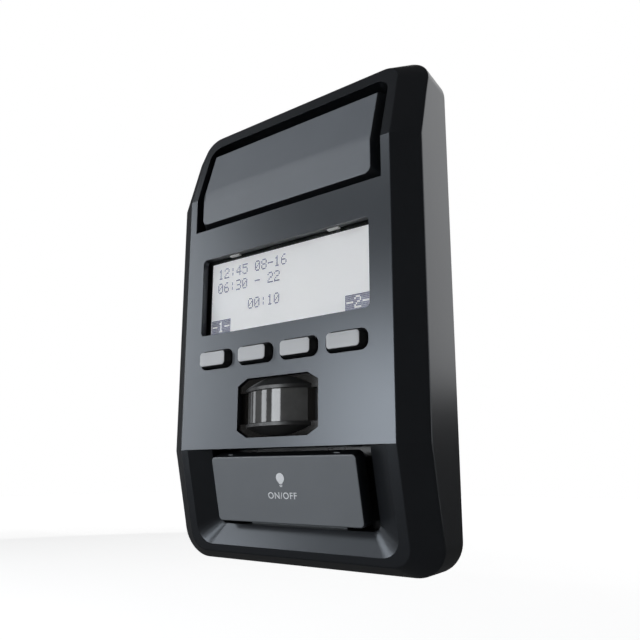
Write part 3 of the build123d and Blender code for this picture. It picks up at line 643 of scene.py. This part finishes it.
@dataclass(frozen=True)
class FloorPaint(Finish):
    """Pale, dull floor, nearly white where it is seen directly."""

    dark: Colour = (0.90, 0.90, 0.90)
    light: Colour = (0.94, 0.94, 0.94)
    drift_scale: float = 3.0
    roughness: float = 0.9
    specular: float = 0.1
    glow: float = 0.75

    def draw(self, recipe: MaterialRecipe) -> None:
        """Draws the paint.

        Args:
            recipe: Tree of its material.
        """
        recipe.finish(
            Base_Color=recipe.between(self.drift_scale, self.dark, self.light),
            Roughness=self.roughness,
            Specular_IOR_Level=self.specular,
            Emission_Color=WHITE,
            Emission_Strength=recipe.calculate("MULTIPLY", recipe.seen_directly(), self.glow),
        )


@dataclass(frozen=True)
class CardPaint(Finish):
    """Dark, dull card with a faint glow."""

    colour: Colour = (0.015, 0.015, 0.015)
    drift: float = 0.1
    drift_scale: float = 2.0
    glow: float = 0.05

    def draw(self, recipe: MaterialRecipe) -> None:
        """Draws the paint.

        Args:
            recipe: Tree of its material.
        """
        recipe.finish(
            Base_Color=recipe.about(self.drift_scale, self.colour, self.drift),
            Roughness=1.0,
            Specular_IOR_Level=0.0,
            Emission_Color=WHITE,
            Emission_Strength=self.glow,
        )


@dataclass(frozen=True)
class FinishShelf:
    """Every finish of the controller and of its studio, each made once."""

    casing: Finish = MouldedPlastic(
        "casing plastic",
        (0.0105, 0.0115, 0.0135),
        0.30,
        patches=0.02,
        grain_height=0.002 * MM,
        marks=0.0,
        specular=0.9,
        tint=(0.86, 0.92, 1.0),
    )
    # Darker and duller than the casing: painted shade on the basin's ceiling, with a rougher grain.
    casing_matt_and_shade: Finish = MouldedPlastic(
        "casing matt plastic with painted shade", (0.006, 0.0065, 0.0075), 0.75, marks=0.0, specular=0.15
    )
    bar: Finish = MouldedPlastic("bar plastic", (0.166, 0.179, 0.198), 0.42, drift=0.05)
    button: Finish = MouldedPlastic("button plastic", (0.180, 0.192, 0.207), 0.37, drift=0.05)
    key_skirt: Finish = MouldedPlastic("key skirt plastic", (0.012, 0.013, 0.014), 0.35)
    key_face: Finish = MouldedPlastic(
        "key face paint",
        (0.54, 0.545, 0.555),
        0.38,
        drift=0.06,
        grain_pitch=0.25 * MM,
        grain_height=0.008 * MM,
    )
    dark: Finish = MouldedPlastic("inner dark plastic", (0.012, 0.012, 0.013), 0.55)
    plate: Finish = MouldedPlastic("wall plate plastic", (0.030, 0.032, 0.036), 0.55, grain_pitch=0.5 * MM)
    clip: Finish = MouldedPlastic("clip plastic", (0.78, 0.78, 0.76), 0.4, drift=0.05)
    backlight: Finish = MouldedPlastic("backlight plastic", (0.75, 0.76, 0.78), 0.35, translucence=0.3)
    switch: Finish = MouldedPlastic("switch plastic", (0.025, 0.025, 0.027), 0.45)
    plunger: Finish = MouldedPlastic("plunger plastic", (0.55, 0.54, 0.50), 0.4, drift=0.06)
    terminal: Finish = MouldedPlastic("terminal plastic", (0.03, 0.20, 0.09), 0.4)
    chip: Finish = MouldedPlastic("chip plastic", (0.015, 0.015, 0.016), 0.5, grain_pitch=0.15 * MM)
    chip_part: Finish = MouldedPlastic("chip part ceramic", (0.34, 0.24, 0.15), 0.5, grain_pitch=0.2 * MM)
    milky: Finish = MouldedPlastic("milky lens plastic", (0.72, 0.72, 0.70), 0.35, translucence=0.5)
    smoked: Finish = SmokedGloss("smoked lens plastic")
    # A paler copy of the smoked plastic for the lens's band: painted reflection of the grey surroundings.
    smoked_band_painted_sheen: Finish = SmokedGloss("smoked lens band with painted sheen", (0.080, 0.079, 0.077))
    smoked_satin: Finish = SmokedGloss("smoked lens collar", (0.010, 0.010, 0.010), 0.36)
    window: Finish = ClearPlate("clear window plastic", refraction=1.2)
    cell: Finish = DisplayCell("display cell")
    cell_ink: Finish = Ink("display dots", (0.25, 0.26, 0.40), 0.3)
    print_ink: Finish = Ink("pale print", (0.86, 0.87, 0.89), 0.45, drift=0.04)
    pane: Finish = SmokedGloss("sensor pane", (0.02, 0.014, 0.02), 0.08)
    screw: Finish = Metal("zinc plated steel", (0.58, 0.58, 0.56), 0.32)
    rod: Finish = Metal("drawn steel rod", (0.56, 0.56, 0.57), 0.25, Axis.X)
    brass: Finish = Metal("brass pins", (0.76, 0.60, 0.26), 0.28)
    can: Finish = Metal("nickel plated can", (0.66, 0.63, 0.58), 0.22)
    tin: Finish = Metal("tinned legs", (0.62, 0.63, 0.64), 0.3)
    laminate: Finish = Laminate("board laminate")
    floor: Finish = FloorPaint("pale floor")
    card: Finish = CardPaint("dark card")

    def of(self, name: str) -> bpy.types.Material:
        """Gives the material of a finish by its field name, made at its first use."""
        finish = getattr(self, name)
        return bpy.data.materials.get(finish.name) or finish.material()


SHELF = FinishShelf()


# Shared mesh steps

MERGE_GAP = 0.0005 * MM  # corners nearer than this are one
FLAT_TURN = 0.6          # degrees below which two faces are one
CORNER_TURN = 40.0       # degrees above which an edge is a corner
CORNER_FACING = 0.85     # how far forward the face beside a rounded edge looks
FACE_FACING = 0.8        # how far forward a face looks to take the paler front plastic; the darker sides are partly painted shade
LARGE_FACE_WEIGHT = 80   # how much more a large face says in its direction than a small one


def node_copy(node: str) -> bmesh.types.BMesh:
    """Copies a CAD node's mesh, merged, with its flat faces made whole.

    Args:
        node: Name of the CAD node.

    Returns:
        A mesh that the caller frees.
    """
    mesh = bmesh.new()
    mesh.from_mesh(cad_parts[node].data)
    bmesh.ops.remove_doubles(mesh, verts=mesh.verts[:], dist=MERGE_GAP)
    turn = radians(FLAT_TURN)
    bmesh.ops.dissolve_limit(mesh, angle_limit=turn, verts=mesh.verts[:], edges=mesh.edges[:])
    return mesh


def turn_out(mesh: bmesh.types.BMesh) -> None:
    """Makes all faces of a closed mesh point outwards."""
    bmesh.ops.recalc_face_normals(mesh, faces=mesh.faces[:])


def round_edges(
    mesh: bmesh.types.BMesh,
    chosen: Callable[[bmesh.types.BMEdge], bool],
    radius: float,
    segments: int = 2,
) -> None:
    """Rounds the chosen edges.

    Args:
        mesh: Mesh to change.
        chosen: Says whether an edge is rounded.
        radius: Width of the rounding.
        segments: Faces across it.
    """
    edges = [edge for edge in mesh.edges if edge.is_manifold and chosen(edge)]
    if edges:
        bmesh.ops.bevel(
            mesh,
            geom=edges,
            offset=radius,
            offset_type="OFFSET",
            segments=segments,
            profile=0.5,
            affect="EDGES",
            clamp_overlap=True,
            material=-1,
        )


def front_corner(edge: bmesh.types.BMEdge, least_turn: float = CORNER_TURN) -> bool:
    """Whether an edge is an outer corner of a face that looks forward.

    Args:
        edge: The edge.
        least_turn: Degrees that it has to turn.

    Returns:
        True where it is.
    """
    if not edge.is_convex or edge.calc_face_angle(0.0) < radians(least_turn):
        return False
    return any(face.normal.y < -CORNER_FACING for face in edge.link_faces)


def front_face(face: bmesh.types.BMFace) -> bool:
    """Whether a face looks forward."""
    return face.normal.y < -FACE_FACING


def settle(mesh: bmesh.types.BMesh, sharp: float = 32.0) -> None:
    """Shades a mesh smooth, with its sharper edges kept.

    Args:
        mesh: Mesh to change.
        sharp: Angle in degrees above which an edge stays sharp.
    """
    for face in mesh.faces:
        face.smooth = True
    for edge in mesh.edges:
        edge.smooth = edge.calc_face_angle(0.0) < radians(sharp)


def piece_from(
    mesh: bmesh.types.BMesh,
    name: str,
    materials: Iterable[bpy.types.Material],
    weighted: bool = True,
) -> bpy.types.Object:
    """Turns a finished mesh into an object of the scene.

    Args:
        mesh: Mesh in its final place, freed here.
        name: Name of the piece.
        materials: Its materials, in the order of its faces' material numbers.
        weighted: Whether large faces keep their own direction beside small ones.

    Returns:
        The new object.
    """
    data = bpy.data.meshes.new(name)
    mesh.to_mesh(data)
    mesh.free()
    for material in materials:
        data.materials.append(material)
    piece = bpy.data.objects.new(name, data)
    bpy.context.scene.collection.objects.link(piece)
    if weighted:
        normals = piece.modifiers.new("even normals", "WEIGHTED_NORMAL")
        normals.keep_sharp = True
        normals.weight = LARGE_FACE_WEIGHT
    log.info("%s: %d faces", name, len(data.polygons))
    return piece


def dress(nodes: dict[str, str]) -> None:
    """Gives CAD nodes their materials.

    Args:
        nodes: Field name of the finish for each node.
    """
    for name, finish in nodes.items():
        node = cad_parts[name]
        material = SHELF.of(finish)
        if not node.material_slots:
            node.data.materials.append(material)
        for slot in node.material_slots:
            slot.material = material
        log.info("%s: %s", name, finish)


def ride(piece: bpy.types.Object, body: str, slot: str, *replaced: str) -> None:
    """Fixes a piece to its body and hides the CAD nodes that it stands for.

    Args:
        piece: The finished piece.
        body: Body that carries it.
        slot: Material slot of the record; not used.
        replaced: CAD nodes that it stands for.
    """
    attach(piece, body)
    if replaced:
        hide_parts(*replaced)


@dataclass(frozen=True)
class Rim:
    """Upright window on the front, inside which outer edges get a rounding of their own."""

    half: float
    low: float
    high: float
    radius: float
    least_turn: float
    segments: int = 3

    def holds(self, edge: bmesh.types.BMEdge) -> bool:
        """Whether an edge of the front lies in the window and turns enough.

        Args:
            edge: The edge.

        Returns:
            True where it does.
        """
        middle = (edge.verts[0].co + edge.verts[1].co) / 2
        inside = abs(middle.x) < self.half and self.low < middle.z < self.high
        return inside and front_corner(edge, self.least_turn)


def moulding(
    node: str,
    name: str,
    body: str,
    slot: str,
    finishes: tuple[str, ...],
    rounding: float,
    rims: Iterable[Rim] = (),
    second: Callable[[bmesh.types.BMFace], bool] = front_face,
) -> None:
    """Dresses a moulded CAD part: its own shape with small rounded front corners and smooth curves.

    Args:
        node: CAD node that it stands for.
        name: Name of the piece.
        body: Body that carries it.
        slot: Material slot of the record.
        finishes: Field name of its finish, and of a second one where some faces differ.
        rounding: Radius of the front corners.
        rims: Places whose edges are rounded more.
        second: Picks the faces that get the second finish.
    """
    mesh = node_copy(node)
    for rim in rims:
        round_edges(mesh, rim.holds, rim.radius, rim.segments)
    round_edges(mesh, front_corner, rounding)
    settle(mesh)
    if len(finishes) > 1:
        for face in mesh.faces:
            face.material_index = int(second(face))
    piece = piece_from(mesh, name, [SHELF.of(finish) for finish in finishes])
    ride(piece, body, slot, node)


# Sub-assemblies


@dataclass
class Casing:
    """Front housing and wall plate with their screws."""

    corner: float = 0.16 * MM
    recess_rim: Rim = Rim(31.2 * MM, 28.0 * MM, 58.6 * MM, 1.5 * MM, 40, 5)
    basin_rim: Rim = Rim(31.3 * MM, -60.2 * MM, -34.9 * MM, 1.5 * MM, 15, 5)
    basin_half: float = 31.5 * MM
    ceiling_low: float = -40.0 * MM
    ceiling_high: float = -33.5 * MM
    ceiling_facing: float = 0.6

    def ceiling(self, face: bmesh.types.BMFace) -> bool:
        """Whether a face is part of the basin's ceiling, whose darker, duller plastic is painted shade.

        Args:
            face: The face.

        Returns:
            True where it is.
        """
        middle = face.calc_center_median()
        inside = abs(middle.x) < self.basin_half and self.ceiling_low < middle.z < self.ceiling_high
        return inside and face.normal.z < -self.ceiling_facing

    def build(self) -> None:
        """Builds and dresses the casing."""
        moulding(
            "front_housing",
            "casing",
            Body.HOUSING.value,
            "casing_plastic",
            # the basin's ceiling takes the darker, duller plastic: painted shade
            ("casing", "casing_matt_and_shade"),
            self.corner,
            (self.recess_rim, self.basin_rim),
            self.ceiling,
        )
        moulding(
            "back_plate", "wall_plate", Body.HOUSING.value, "plate_plastic", ("plate",), self.corner
        )
        dress({"case_screws": "screw"})


@dataclass
class PushBar:
    """Door bar, the rod that it hangs on and the switch behind it."""

    corner: float = 0.12 * MM
    bend: Rim = Rim(27.0 * MM, 38.8 * MM, 39.2 * MM, 2.2 * MM, 10, 6)

    def build(self) -> None:
        """Builds and dresses the bar."""
        moulding(
            "push_bar",
            "door_bar",
            Body.BAR.value,
            "bar_plastic",
            # darker casing plastic on the sides, paler plastic on the front; the dark sides are partly
            # painted shade
            ("casing", "bar"),
            self.corner,
            (self.bend,),
        )
        dress({"bar_hinge_rod": "rod", "bar_switch": "switch", "bar_switch_plunger": "plunger"})


@dataclass
class LightControl:
    """Light button with its printed bulb and switch words."""

    corner: float = 0.1 * MM
    ink: float = 0.04 * MM
    tilt: float = radians(13.3)
    bend_height: float = -34.75 * MM
    front: float = 19.5 * MM
    sunk: float = 0.3 * MM
    bulb_height: float = -42.2 * MM
    bulb_radius: float = 1.25 * MM
    bulb_sides: int = 32
    shoulder_share: float = 0.75
    neck_share: float = 1.2
    neck_flat_share: float = 0.2
    neck_width_share: float = 0.6
    thread_shares: tuple[float, ...] = (0.36, 0.28)
    thread_flat_share: float = 0.15
    thread_start_share: float = 1.45
    thread_step_share: float = 0.27
    words_height: float = -46.6 * MM
    words_size: float = 2.3 * MM
    words_spacing: float = 1.12
    words_weight: float = 0.015 * MM

    def face_place(self, height: float) -> Matrix:
        """Place on the button's face, its x axis to the right and its y axis up the slope.

        Args:
            height: Height of the place.

        Returns:
            Matrix from flat artwork to the face.
        """
        fall = (self.bend_height - height) * tan(self.tilt)
        depth = self.front - fall - self.sunk / cos(self.tilt)
        return Matrix.Translation((0, -depth, height)) @ Matrix.Rotation(pi / 2 + self.tilt, 4, "X")

    def bulb(self) -> bpy.types.Object:
        """Draws the bulb as raised ink.

        Returns:
            The piece.
        """
        mesh = bmesh.new()
        radius = self.bulb_radius
        bmesh.ops.create_circle(mesh, cap_ends=True, segments=self.bulb_sides, radius=radius)
        for vert in mesh.verts:
            if vert.co.y < -self.shoulder_share * radius:
                vert.co.y = -self.neck_share * radius + self.neck_flat_share * (vert.co.y + radius)
                vert.co.x *= self.neck_width_share
        for step, half in enumerate(self.thread_shares):
            bar = bmesh.ops.create_grid(mesh, x_segments=1, y_segments=1, size=radius / 2)
            high = -self.thread_start_share * radius - step * self.thread_step_share * radius
            bmesh.ops.scale(mesh, verts=bar["verts"], vec=(2 * half, self.thread_flat_share, 1))
            bmesh.ops.translate(mesh, verts=bar["verts"], vec=(0, high, 0))
        faces = bmesh.ops.extrude_face_region(mesh, geom=mesh.faces[:])
        lifted = [part for part in faces["geom"] if isinstance(part, bmesh.types.BMVert)]
        bmesh.ops.translate(mesh, verts=lifted, vec=(0, 0, self.ink))
        turn_out(mesh)
        mesh.transform(self.face_place(self.bulb_height))
        return piece_from(mesh, "bulb_print", [SHELF.of("print_ink")], weighted=False)

    def words(self) -> bpy.types.Object:
        """Prints the two generic switch words.

        Returns:
            The piece.
        """
        curve = bpy.data.curves.new("switch_words_curve", "FONT")
        curve.body = "ON/OFF"
        curve.size = self.words_size
        curve.align_x = curve.align_y = "CENTER"
        curve.space_character = self.words_spacing
        curve.offset = self.words_weight
        curve.extrude = self.ink / 2
        carrier = bpy.data.objects.new("switch_words_carrier", curve)
        bpy.context.scene.collection.objects.link(carrier)
        bpy.context.view_layer.update()
        drawn = bpy.data.meshes.new_from_object(carrier)
        bpy.data.objects.remove(carrier)
        mesh = bmesh.new()
        mesh.from_mesh(drawn)
        bmesh.ops.remove_doubles(mesh, verts=mesh.verts[:], dist=2 * MERGE_GAP)
        bmesh.ops.translate(mesh, verts=mesh.verts[:], vec=(0, 0, self.ink / 2))
        mesh.transform(self.face_place(self.words_height))
        return piece_from(mesh, "switch_words", [SHELF.of("print_ink")], weighted=False)

    def build(self) -> None:
        """Builds and dresses the light button."""
        moulding(
            "light_button",
            "light_paddle",
            Body.LIGHT.value,
            "button_plastic",
            # darker casing plastic on the sides, paler plastic on the front; the dark sides are partly
            # painted shade
            ("casing", "button"),
            self.corner,
        )
        for piece in (self.bulb(), self.words()):
            ride(piece, Body.LIGHT.value, "button_plastic")
        dress({"light_switch": "switch", "light_switch_plunger": "plunger"})


# Dots of the display's signs, line by line from the top
SIGNS: dict[str, str] = {
    "0": ".###./#...#/#..##/#.#.#/##..#/#...#/.###.",
    "1": "..#../.##../..#../..#../..#../..#../.###.",
    "2": ".###./#...#/....#/..##./.#.../#..../#####",
    "3": "####./....#/....#/.###./....#/....#/####.",
    "4": "...#./..##./.#.#./#..#./#####/...#./...#.",
    "5": "#####/#..../####./....#/....#/#...#/.###.",
    "6": "..##./.#.../#..../####./#...#/#...#/.###.",
    "8": ".###./#...#/#...#/.###./#...#/#...#/.###.",
    ":": "...../..#../..#../...../..#../..#../.....",
    "-": "...../...../...../#####/...../...../.....",
    " ": "...../...../...../...../...../...../.....",
}


@dataclass
class DotRow:
    """One row of dot matrix signs."""

    signs: str
    left: float
    low: float
    inverse: bool = False


@dataclass
class Display:
    """Display window, its liquid crystal cell with numbers, its frame and clips."""

    rows: tuple[DotRow, ...] = (
        DotRow("12:45 08-16", -24.0 * MM, 13.6 * MM),
        DotRow("06:30 - 22", -24.0 * MM, 9.4 * MM),
        DotRow("00:10", -12.6 * MM, 3.2 * MM),
        DotRow("-1-", -25.7 * MM, -1.9 * MM, True),
        DotRow("-2-", 19.3 * MM, -1.9 * MM, True),
    )
    dot_pitch: float = 0.38 * MM
    dot_size: float = 0.33 * MM
    dot_height: float = 0.03 * MM
    stretch: float = 1.16
    border_half: float = 26.3 * MM
    border_low: float = -2.5 * MM
    border_high: float = 18.5 * MM
    columns: int = 5
    lines: int = 7
    window_gap: float = 0.2 * MM
    window_edge: float = 0.25 * MM

    def lit(self, row: DotRow) -> Iterable[tuple[int, int]]:
        """Lists the dark dots of a row.

        Args:
            row: The row of signs.

        Returns:
            Column and line of each dark dot, from the row's lower left corner.
        """
        margin = 1 if row.inverse else 0
        across = len(row.signs) * (self.columns + 1) - 1
        for column in range(-margin, across + margin):
            sign, inside = divmod(column, self.columns + 1)
            for line in range(-margin, self.lines + margin):
                drawn = False
                if 0 <= column < across and inside < self.columns and 0 <= line < self.lines:
                    dots = SIGNS[row.signs[sign]].split("/")
                    drawn = dots[self.lines - 1 - line][inside] == "#"
                if drawn != row.inverse:
                    yield column, line

    def marks(self) -> bpy.types.Object:
        """Lays the dark dots on the cell.

        Returns:
            The piece.
        """
        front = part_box("lcd_glass")[0][1]
        mesh = bmesh.new()
        size = Matrix.Diagonal((self.dot_size, self.dot_height, self.dot_size * self.stretch, 1))
        for row in self.rows:
            for column, line in self.lit(row):
                place = Matrix.Translation(
                    (
                        row.left + (column + 0.5) * self.dot_pitch,
                        front - self.dot_height / 2,
                        row.low + (line + 0.5) * self.dot_pitch * self.stretch,
                    )
                )
                bmesh.ops.create_cube(mesh, size=1, matrix=place @ size)
        return piece_from(mesh, "display_numbers", [SHELF.of("cell_ink")], weighted=False)

    def border(self) -> bpy.types.Object:
        """Prints the black border of the cell.

        Returns:
            The piece.
        """
        (left, front, low), (right, _, high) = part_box("lcd_glass")
        mesh = bmesh.new()
        bands = (
            (left, -self.border_half, low, high),
            (self.border_half, right, low, high),
            (-self.border_half, self.border_half, low, self.border_low),
            (-self.border_half, self.border_half, self.border_high, high),
        )
        for near, far, bottom, top in bands:
            middle = ((near + far) / 2, front - self.dot_height / 2, (bottom + top) / 2)
            place = Matrix.Translation(middle)
            size = Matrix.Diagonal((far - near, self.dot_height, top - bottom, 1))
            bmesh.ops.create_cube(mesh, size=1, matrix=place @ size)
        return piece_from(mesh, "cell_border", [SHELF.of("dark")], weighted=False)

    def window(self) -> bpy.types.Object:
        """Makes the clear window with softened edges, clear of the cell behind it.

        Returns:
            The piece.
        """
        low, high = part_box("display_window")
        rear = high[1] - self.window_gap
        middle = Vector(((low[0] + high[0]) / 2, (low[1] + rear) / 2, (low[2] + high[2]) / 2))
        size = Matrix.Diagonal((high[0] - low[0], rear - low[1], high[2] - low[2], 1))
        mesh = bmesh.new()
        bmesh.ops.create_cube(mesh, size=1, matrix=Matrix.Translation(middle) @ size)
        round_edges(mesh, lambda edge: True, self.window_edge, 3)
        settle(mesh)
        return piece_from(mesh, "window_pane", [SHELF.of("window")])

    def build(self) -> None:
        """Builds and dresses the display."""
        ride(self.window(), Body.HOUSING.value, "clear_window", "display_window")
        for piece in (self.marks(), self.border()):
            ride(piece, Body.HOUSING.value, "cell_glass")
        dress(
            {
                "lcd_glass": "cell",
                "lcd_backlight": "backlight",
                "display_frame": "dark",
                "display_clips": "clip",
                "lcd_header_pins": "brass",
            }
        )


@dataclass
class SoftKeys:
    """Four keys with dark skirts and pale faces, and the switches under them."""

    count: int = 4
    corner: float = 0.12 * MM
    face_margin: float = 0.35 * MM
    crown: float = 0.09 * MM
    paint_depth: float = 0.3 * MM
    paint_facing: float = 0.6
    sharp: float = 28.0

    def key(self, number: int) -> bpy.types.Object:
        """Makes one key with its crowned, painted face.

        Args:
            number: Place in the row, from the left.

        Returns:
            The piece.
        """
        mesh = node_copy(f"soft_key_{number}")
        front = min(vert.co.y for vert in mesh.verts)

        def behind(face: bmesh.types.BMFace) -> float:
            """How far a face lies behind the front of the key, to a micrometre."""
            return round(face.calc_center_median().y - front, 6)

        top = min(mesh.faces, key=lambda face: (behind(face), -face.calc_area()))
        for rise in (0.0, self.crown):
            bmesh.ops.inset_region(
                mesh, faces=[top], thickness=self.face_margin, depth=rise, use_even_offset=True
            )
        for face in mesh.faces:
            near = face.calc_center_median().y - front < self.paint_depth
            face.material_index = int(near and face.normal.y < -self.paint_facing)
        settle(mesh, self.sharp)
        return piece_from(mesh, f"key_{number}", [SHELF.of("key_skirt"), SHELF.of("key_face")])

    def build(self) -> None:
        """Builds and dresses the keys."""
        for number in range(1, self.count + 1):
            ride(self.key(number), f"soft_key_{number}", "key_plastic", f"soft_key_{number}")
            dress({f"soft_key_plunger_{number}": "plunger"})
        dress({"soft_key_switches": "switch"})


@dataclass
class MotionSensor:
    """Smoked barrel lens with the parts behind it."""

    sharp: float = 24.0
    axis_depth: float = 5.9 * MM
    band_radius: float = 16.0 * MM
    band_low: float = -28.6 * MM
    band_high: float = -20.5 * MM
    front: float = 18.9 * MM
    upright: float = 0.3

    def finish_of(self, face: bmesh.types.BMFace) -> int:
        """Picks the finish of a face of the lens.

        Args:
            face: The face.

        Returns:
            1 on the band, whose paler plastic is a painted reflection, 2 on the collars and shoulders, 0
            elsewhere.
        """
        middle = face.calc_center_median()
        if middle.y > -self.front or face.normal.y > 0:
            return 0
        reach = hypot(middle.x, middle.y + self.axis_depth)
        on_band = self.band_low < middle.z < self.band_high and reach > self.band_radius
        return 1 if on_band and abs(face.normal.z) < self.upright else 2

    def build(self) -> None:
        """Builds and dresses the sensor."""
        mesh = node_copy("pir_lens")
        settle(mesh, self.sharp)
        for face in mesh.faces:
            face.material_index = self.finish_of(face)
        # the band takes the paler smoked plastic, a painted reflection
        finishes = [SHELF.of(name) for name in ("smoked", "smoked_band_painted_sheen", "smoked_satin")]
        lens = piece_from(mesh, "sensor_lens", finishes)
        ride(lens, Body.HOUSING.value, "smoked_lens", "pir_lens")
        dress(
            {
                "pir_inner_lens": "milky",
                "pir_holder": "dark",
                "pir_sensor": "can",
                "pir_sensor_pane": "pane",
            }
        )


@dataclass
class Electronics:
    """Main board and everything soldered to it."""

    def build(self) -> None:
        """Dresses the board and its parts."""
        dress(
            {
                "main_board": "laminate",
                "board_screws": "screw",
                "terminal_block": "terminal",
                "terminal_screws": "screw",
                "microcontroller": "chip",
                "microcontroller_legs": "tin",
                "board_capacitors": "can",
                "board_crystal": "tin",
                "board_chip_parts": "chip_part",
            }
        )


@dataclass(frozen=True)
class Softbox:
    """One upright softbox, aimed at the object from a direction seen from above."""

    name: str
    turn: float
    rise: float
    width: float
    height: float
    radiance: float
    distance: float = 1.0
    tint: Colour = (0.93, 0.965, 1.0)

    def place(self) -> None:
        """Adds the softbox to the scene, turned to the object."""
        lamp = bpy.data.lights.new(self.name, "AREA")
        lamp.shape = "RECTANGLE"
        lamp.size = 2 * self.distance * tan(radians(self.width / 2))
        lamp.size_y = 2 * self.distance * tan(radians(self.height / 2))
        lamp.energy = self.radiance * pi * lamp.size * lamp.size_y
        lamp.color = self.tint
        holder = bpy.data.objects.new(self.name, lamp)
        turn, rise = radians(self.turn), radians(self.rise)
        out = Vector((sin(turn) * cos(rise), -cos(turn) * cos(rise), sin(rise)))
        holder.location = out * self.distance
        holder.rotation_euler = (-out).to_track_quat("-Z", "Y").to_euler()
        holder.visible_camera = False
        bpy.context.scene.collection.objects.link(holder)


@dataclass
class Studio:
    """White surroundings, pale floor, dark cards, softboxes and the camera."""

    floor_height: float = -0.16
    floor_half: float = 3.0
    world_level: float = 0.35
    card_near: float = -150.0
    card_far: float = 98.0
    card_distance: float = 1.15
    card_height: float = 1.1
    rear_near: float = 128.0
    rear_far: float = 185.0
    rear_height: float = 0.045
    rear_distance: float = 0.5
    roof_height: float = 0.95
    card_half: float = 1.2
    card_shift: float = 0.6
    card_steps: int = 32
    low_card_gap: float = 1.0 * MM
    boxes: tuple[Softbox, ...] = (
        Softbox("front softbox", -24.0, -1.5, 18.0, 30.0, 7.7),
        Softbox("left softbox", -51.5, 6.0, 12.0, 44.0, 5.0),
        Softbox("upper softbox", -36.0, 40.0, 34.0, 12.0, 2.6),
        Softbox("far left softbox", -81.0, 2.0, 8.0, 30.0, 2.0),
    )
    camera_place: Vector = field(default_factory=lambda: Vector((93.28, -135.38, -41.25)) * MM)
    camera_turn: float = radians(34.29)
    camera_rise: float = radians(10.68)
    camera_lens: float = 33.43
    camera_shift: tuple[float, float] = (-0.0044, 0.0656)
    camera_near: float = 0.01

    def surroundings(self) -> None:
        """Sets the white world, plainer for the light that it gives."""
        world = bpy.data.worlds.new("white studio")
        world.use_nodes = True
        bpy.context.scene.world = world
        recipe = Recipe(world.node_tree)
        background = next(node for node in world.node_tree.nodes if node.type == "BACKGROUND")
        lift = recipe.calculate("MULTIPLY", recipe.seen_directly(), 1 - self.world_level)
        level = recipe.calculate("ADD", lift, self.world_level)
        recipe.feed(background, Color=WHITE, Strength=level)

    def floor(self) -> None:
        """Lays the pale floor, which keeps the object's shadow."""
        mesh = bmesh.new()
        place = Matrix.Translation((0, 0, self.floor_height))
        bmesh.ops.create_grid(mesh, x_segments=1, y_segments=1, size=self.floor_half, matrix=place)
        floor = piece_from(mesh, "studio_floor", [SHELF.of("floor")], weighted=False)

    def curved_card(self, near: float, far: float, distance: float, top: float) -> bmesh.types.BMesh:
        """Draws an upright card that curves about the object.

        Args:
            near: Direction of its first edge, in degrees from the front towards the right.
            far: Direction of its last edge.
            distance: How far from the object it stands.
            top: Height of its upper edge.

        Returns:
            Its mesh.
        """
        mesh = bmesh.new()
        start, turn = radians(near), radians(far - near)
        foot = Vector((sin(start), -cos(start), 0)) * distance
        verts = [mesh.verts.new(foot + Vector((0, 0, high))) for high in (self.floor_height, top)]
        edge = mesh.edges.new(verts)
        bmesh.ops.spin(
            mesh,
            geom=[*verts, edge],
            cent=(0, 0, 0),
            axis=(0, 0, 1),
            angle=turn,
            steps=self.card_steps,
            use_duplicate=False,
        )
        return mesh

    def flat_card(self, height: float) -> bmesh.types.BMesh:
        """Draws a level card.

        Args:
            height: Its height.

        Returns:
            Its mesh.
        """
        mesh = bmesh.new()
        place = Matrix.Translation((0, -self.card_shift, height))
        bmesh.ops.create_grid(mesh, x_segments=1, y_segments=1, size=self.card_half, matrix=place)
        return mesh

    def dark_cards(self) -> None:
        """Stands dark cards round the front, overhead and below, which only the object's surfaces see."""
        front = (self.card_near, self.card_far, self.card_distance, self.card_height)
        rear = (self.rear_near, self.rear_far, self.rear_distance, self.rear_height)
        cards = {
            "front_card": self.curved_card(*front),
            "rear_card": self.curved_card(*rear),
            "roof_card": self.flat_card(self.roof_height),
            "low_card": self.flat_card(self.floor_height + self.low_card_gap),
        }
        for name, mesh in cards.items():
            card = piece_from(mesh, name, [SHELF.of("card")], weighted=False)
            card.visible_camera = False
            card.visible_shadow = card.visible_diffuse = name in ("front_card", "roof_card")

    def camera(self) -> None:
        """Sets the camera to the viewing angle of the photograph."""
        data = bpy.data.cameras.new("camera")
        data.lens = self.camera_lens
        data.shift_x, data.shift_y = self.camera_shift
        data.clip_start = self.camera_near
        camera = bpy.data.objects.new("camera", data)
        camera.location = self.camera_place
        camera.rotation_euler = (pi / 2 + self.camera_rise, 0, self.camera_turn)
        bpy.context.scene.collection.objects.link(camera)
        bpy.context.scene.camera = camera

    def build(self) -> None:
        """Builds the studio."""
        bpy.context.scene.view_settings.view_transform = "Standard"
        self.surroundings()
        self.floor()
        self.dark_cards()
        for box in self.boxes:
            box.place()
        self.camera()


def main() -> None:
    """Builds every sub-assembly and the studio, in order."""
    logging.basicConfig(level=logging.INFO, format="%(name)s: %(message)s")
    for assembly in (
        Casing(),
        PushBar(),
        LightControl(),
        Display(),
        SoftKeys(),
        MotionSensor(),
        Electronics(),
        Studio(),
    ):
        log.info("building %s", type(assembly).__name__)
        assembly.build()


if __name__ == "__main__":
    main()
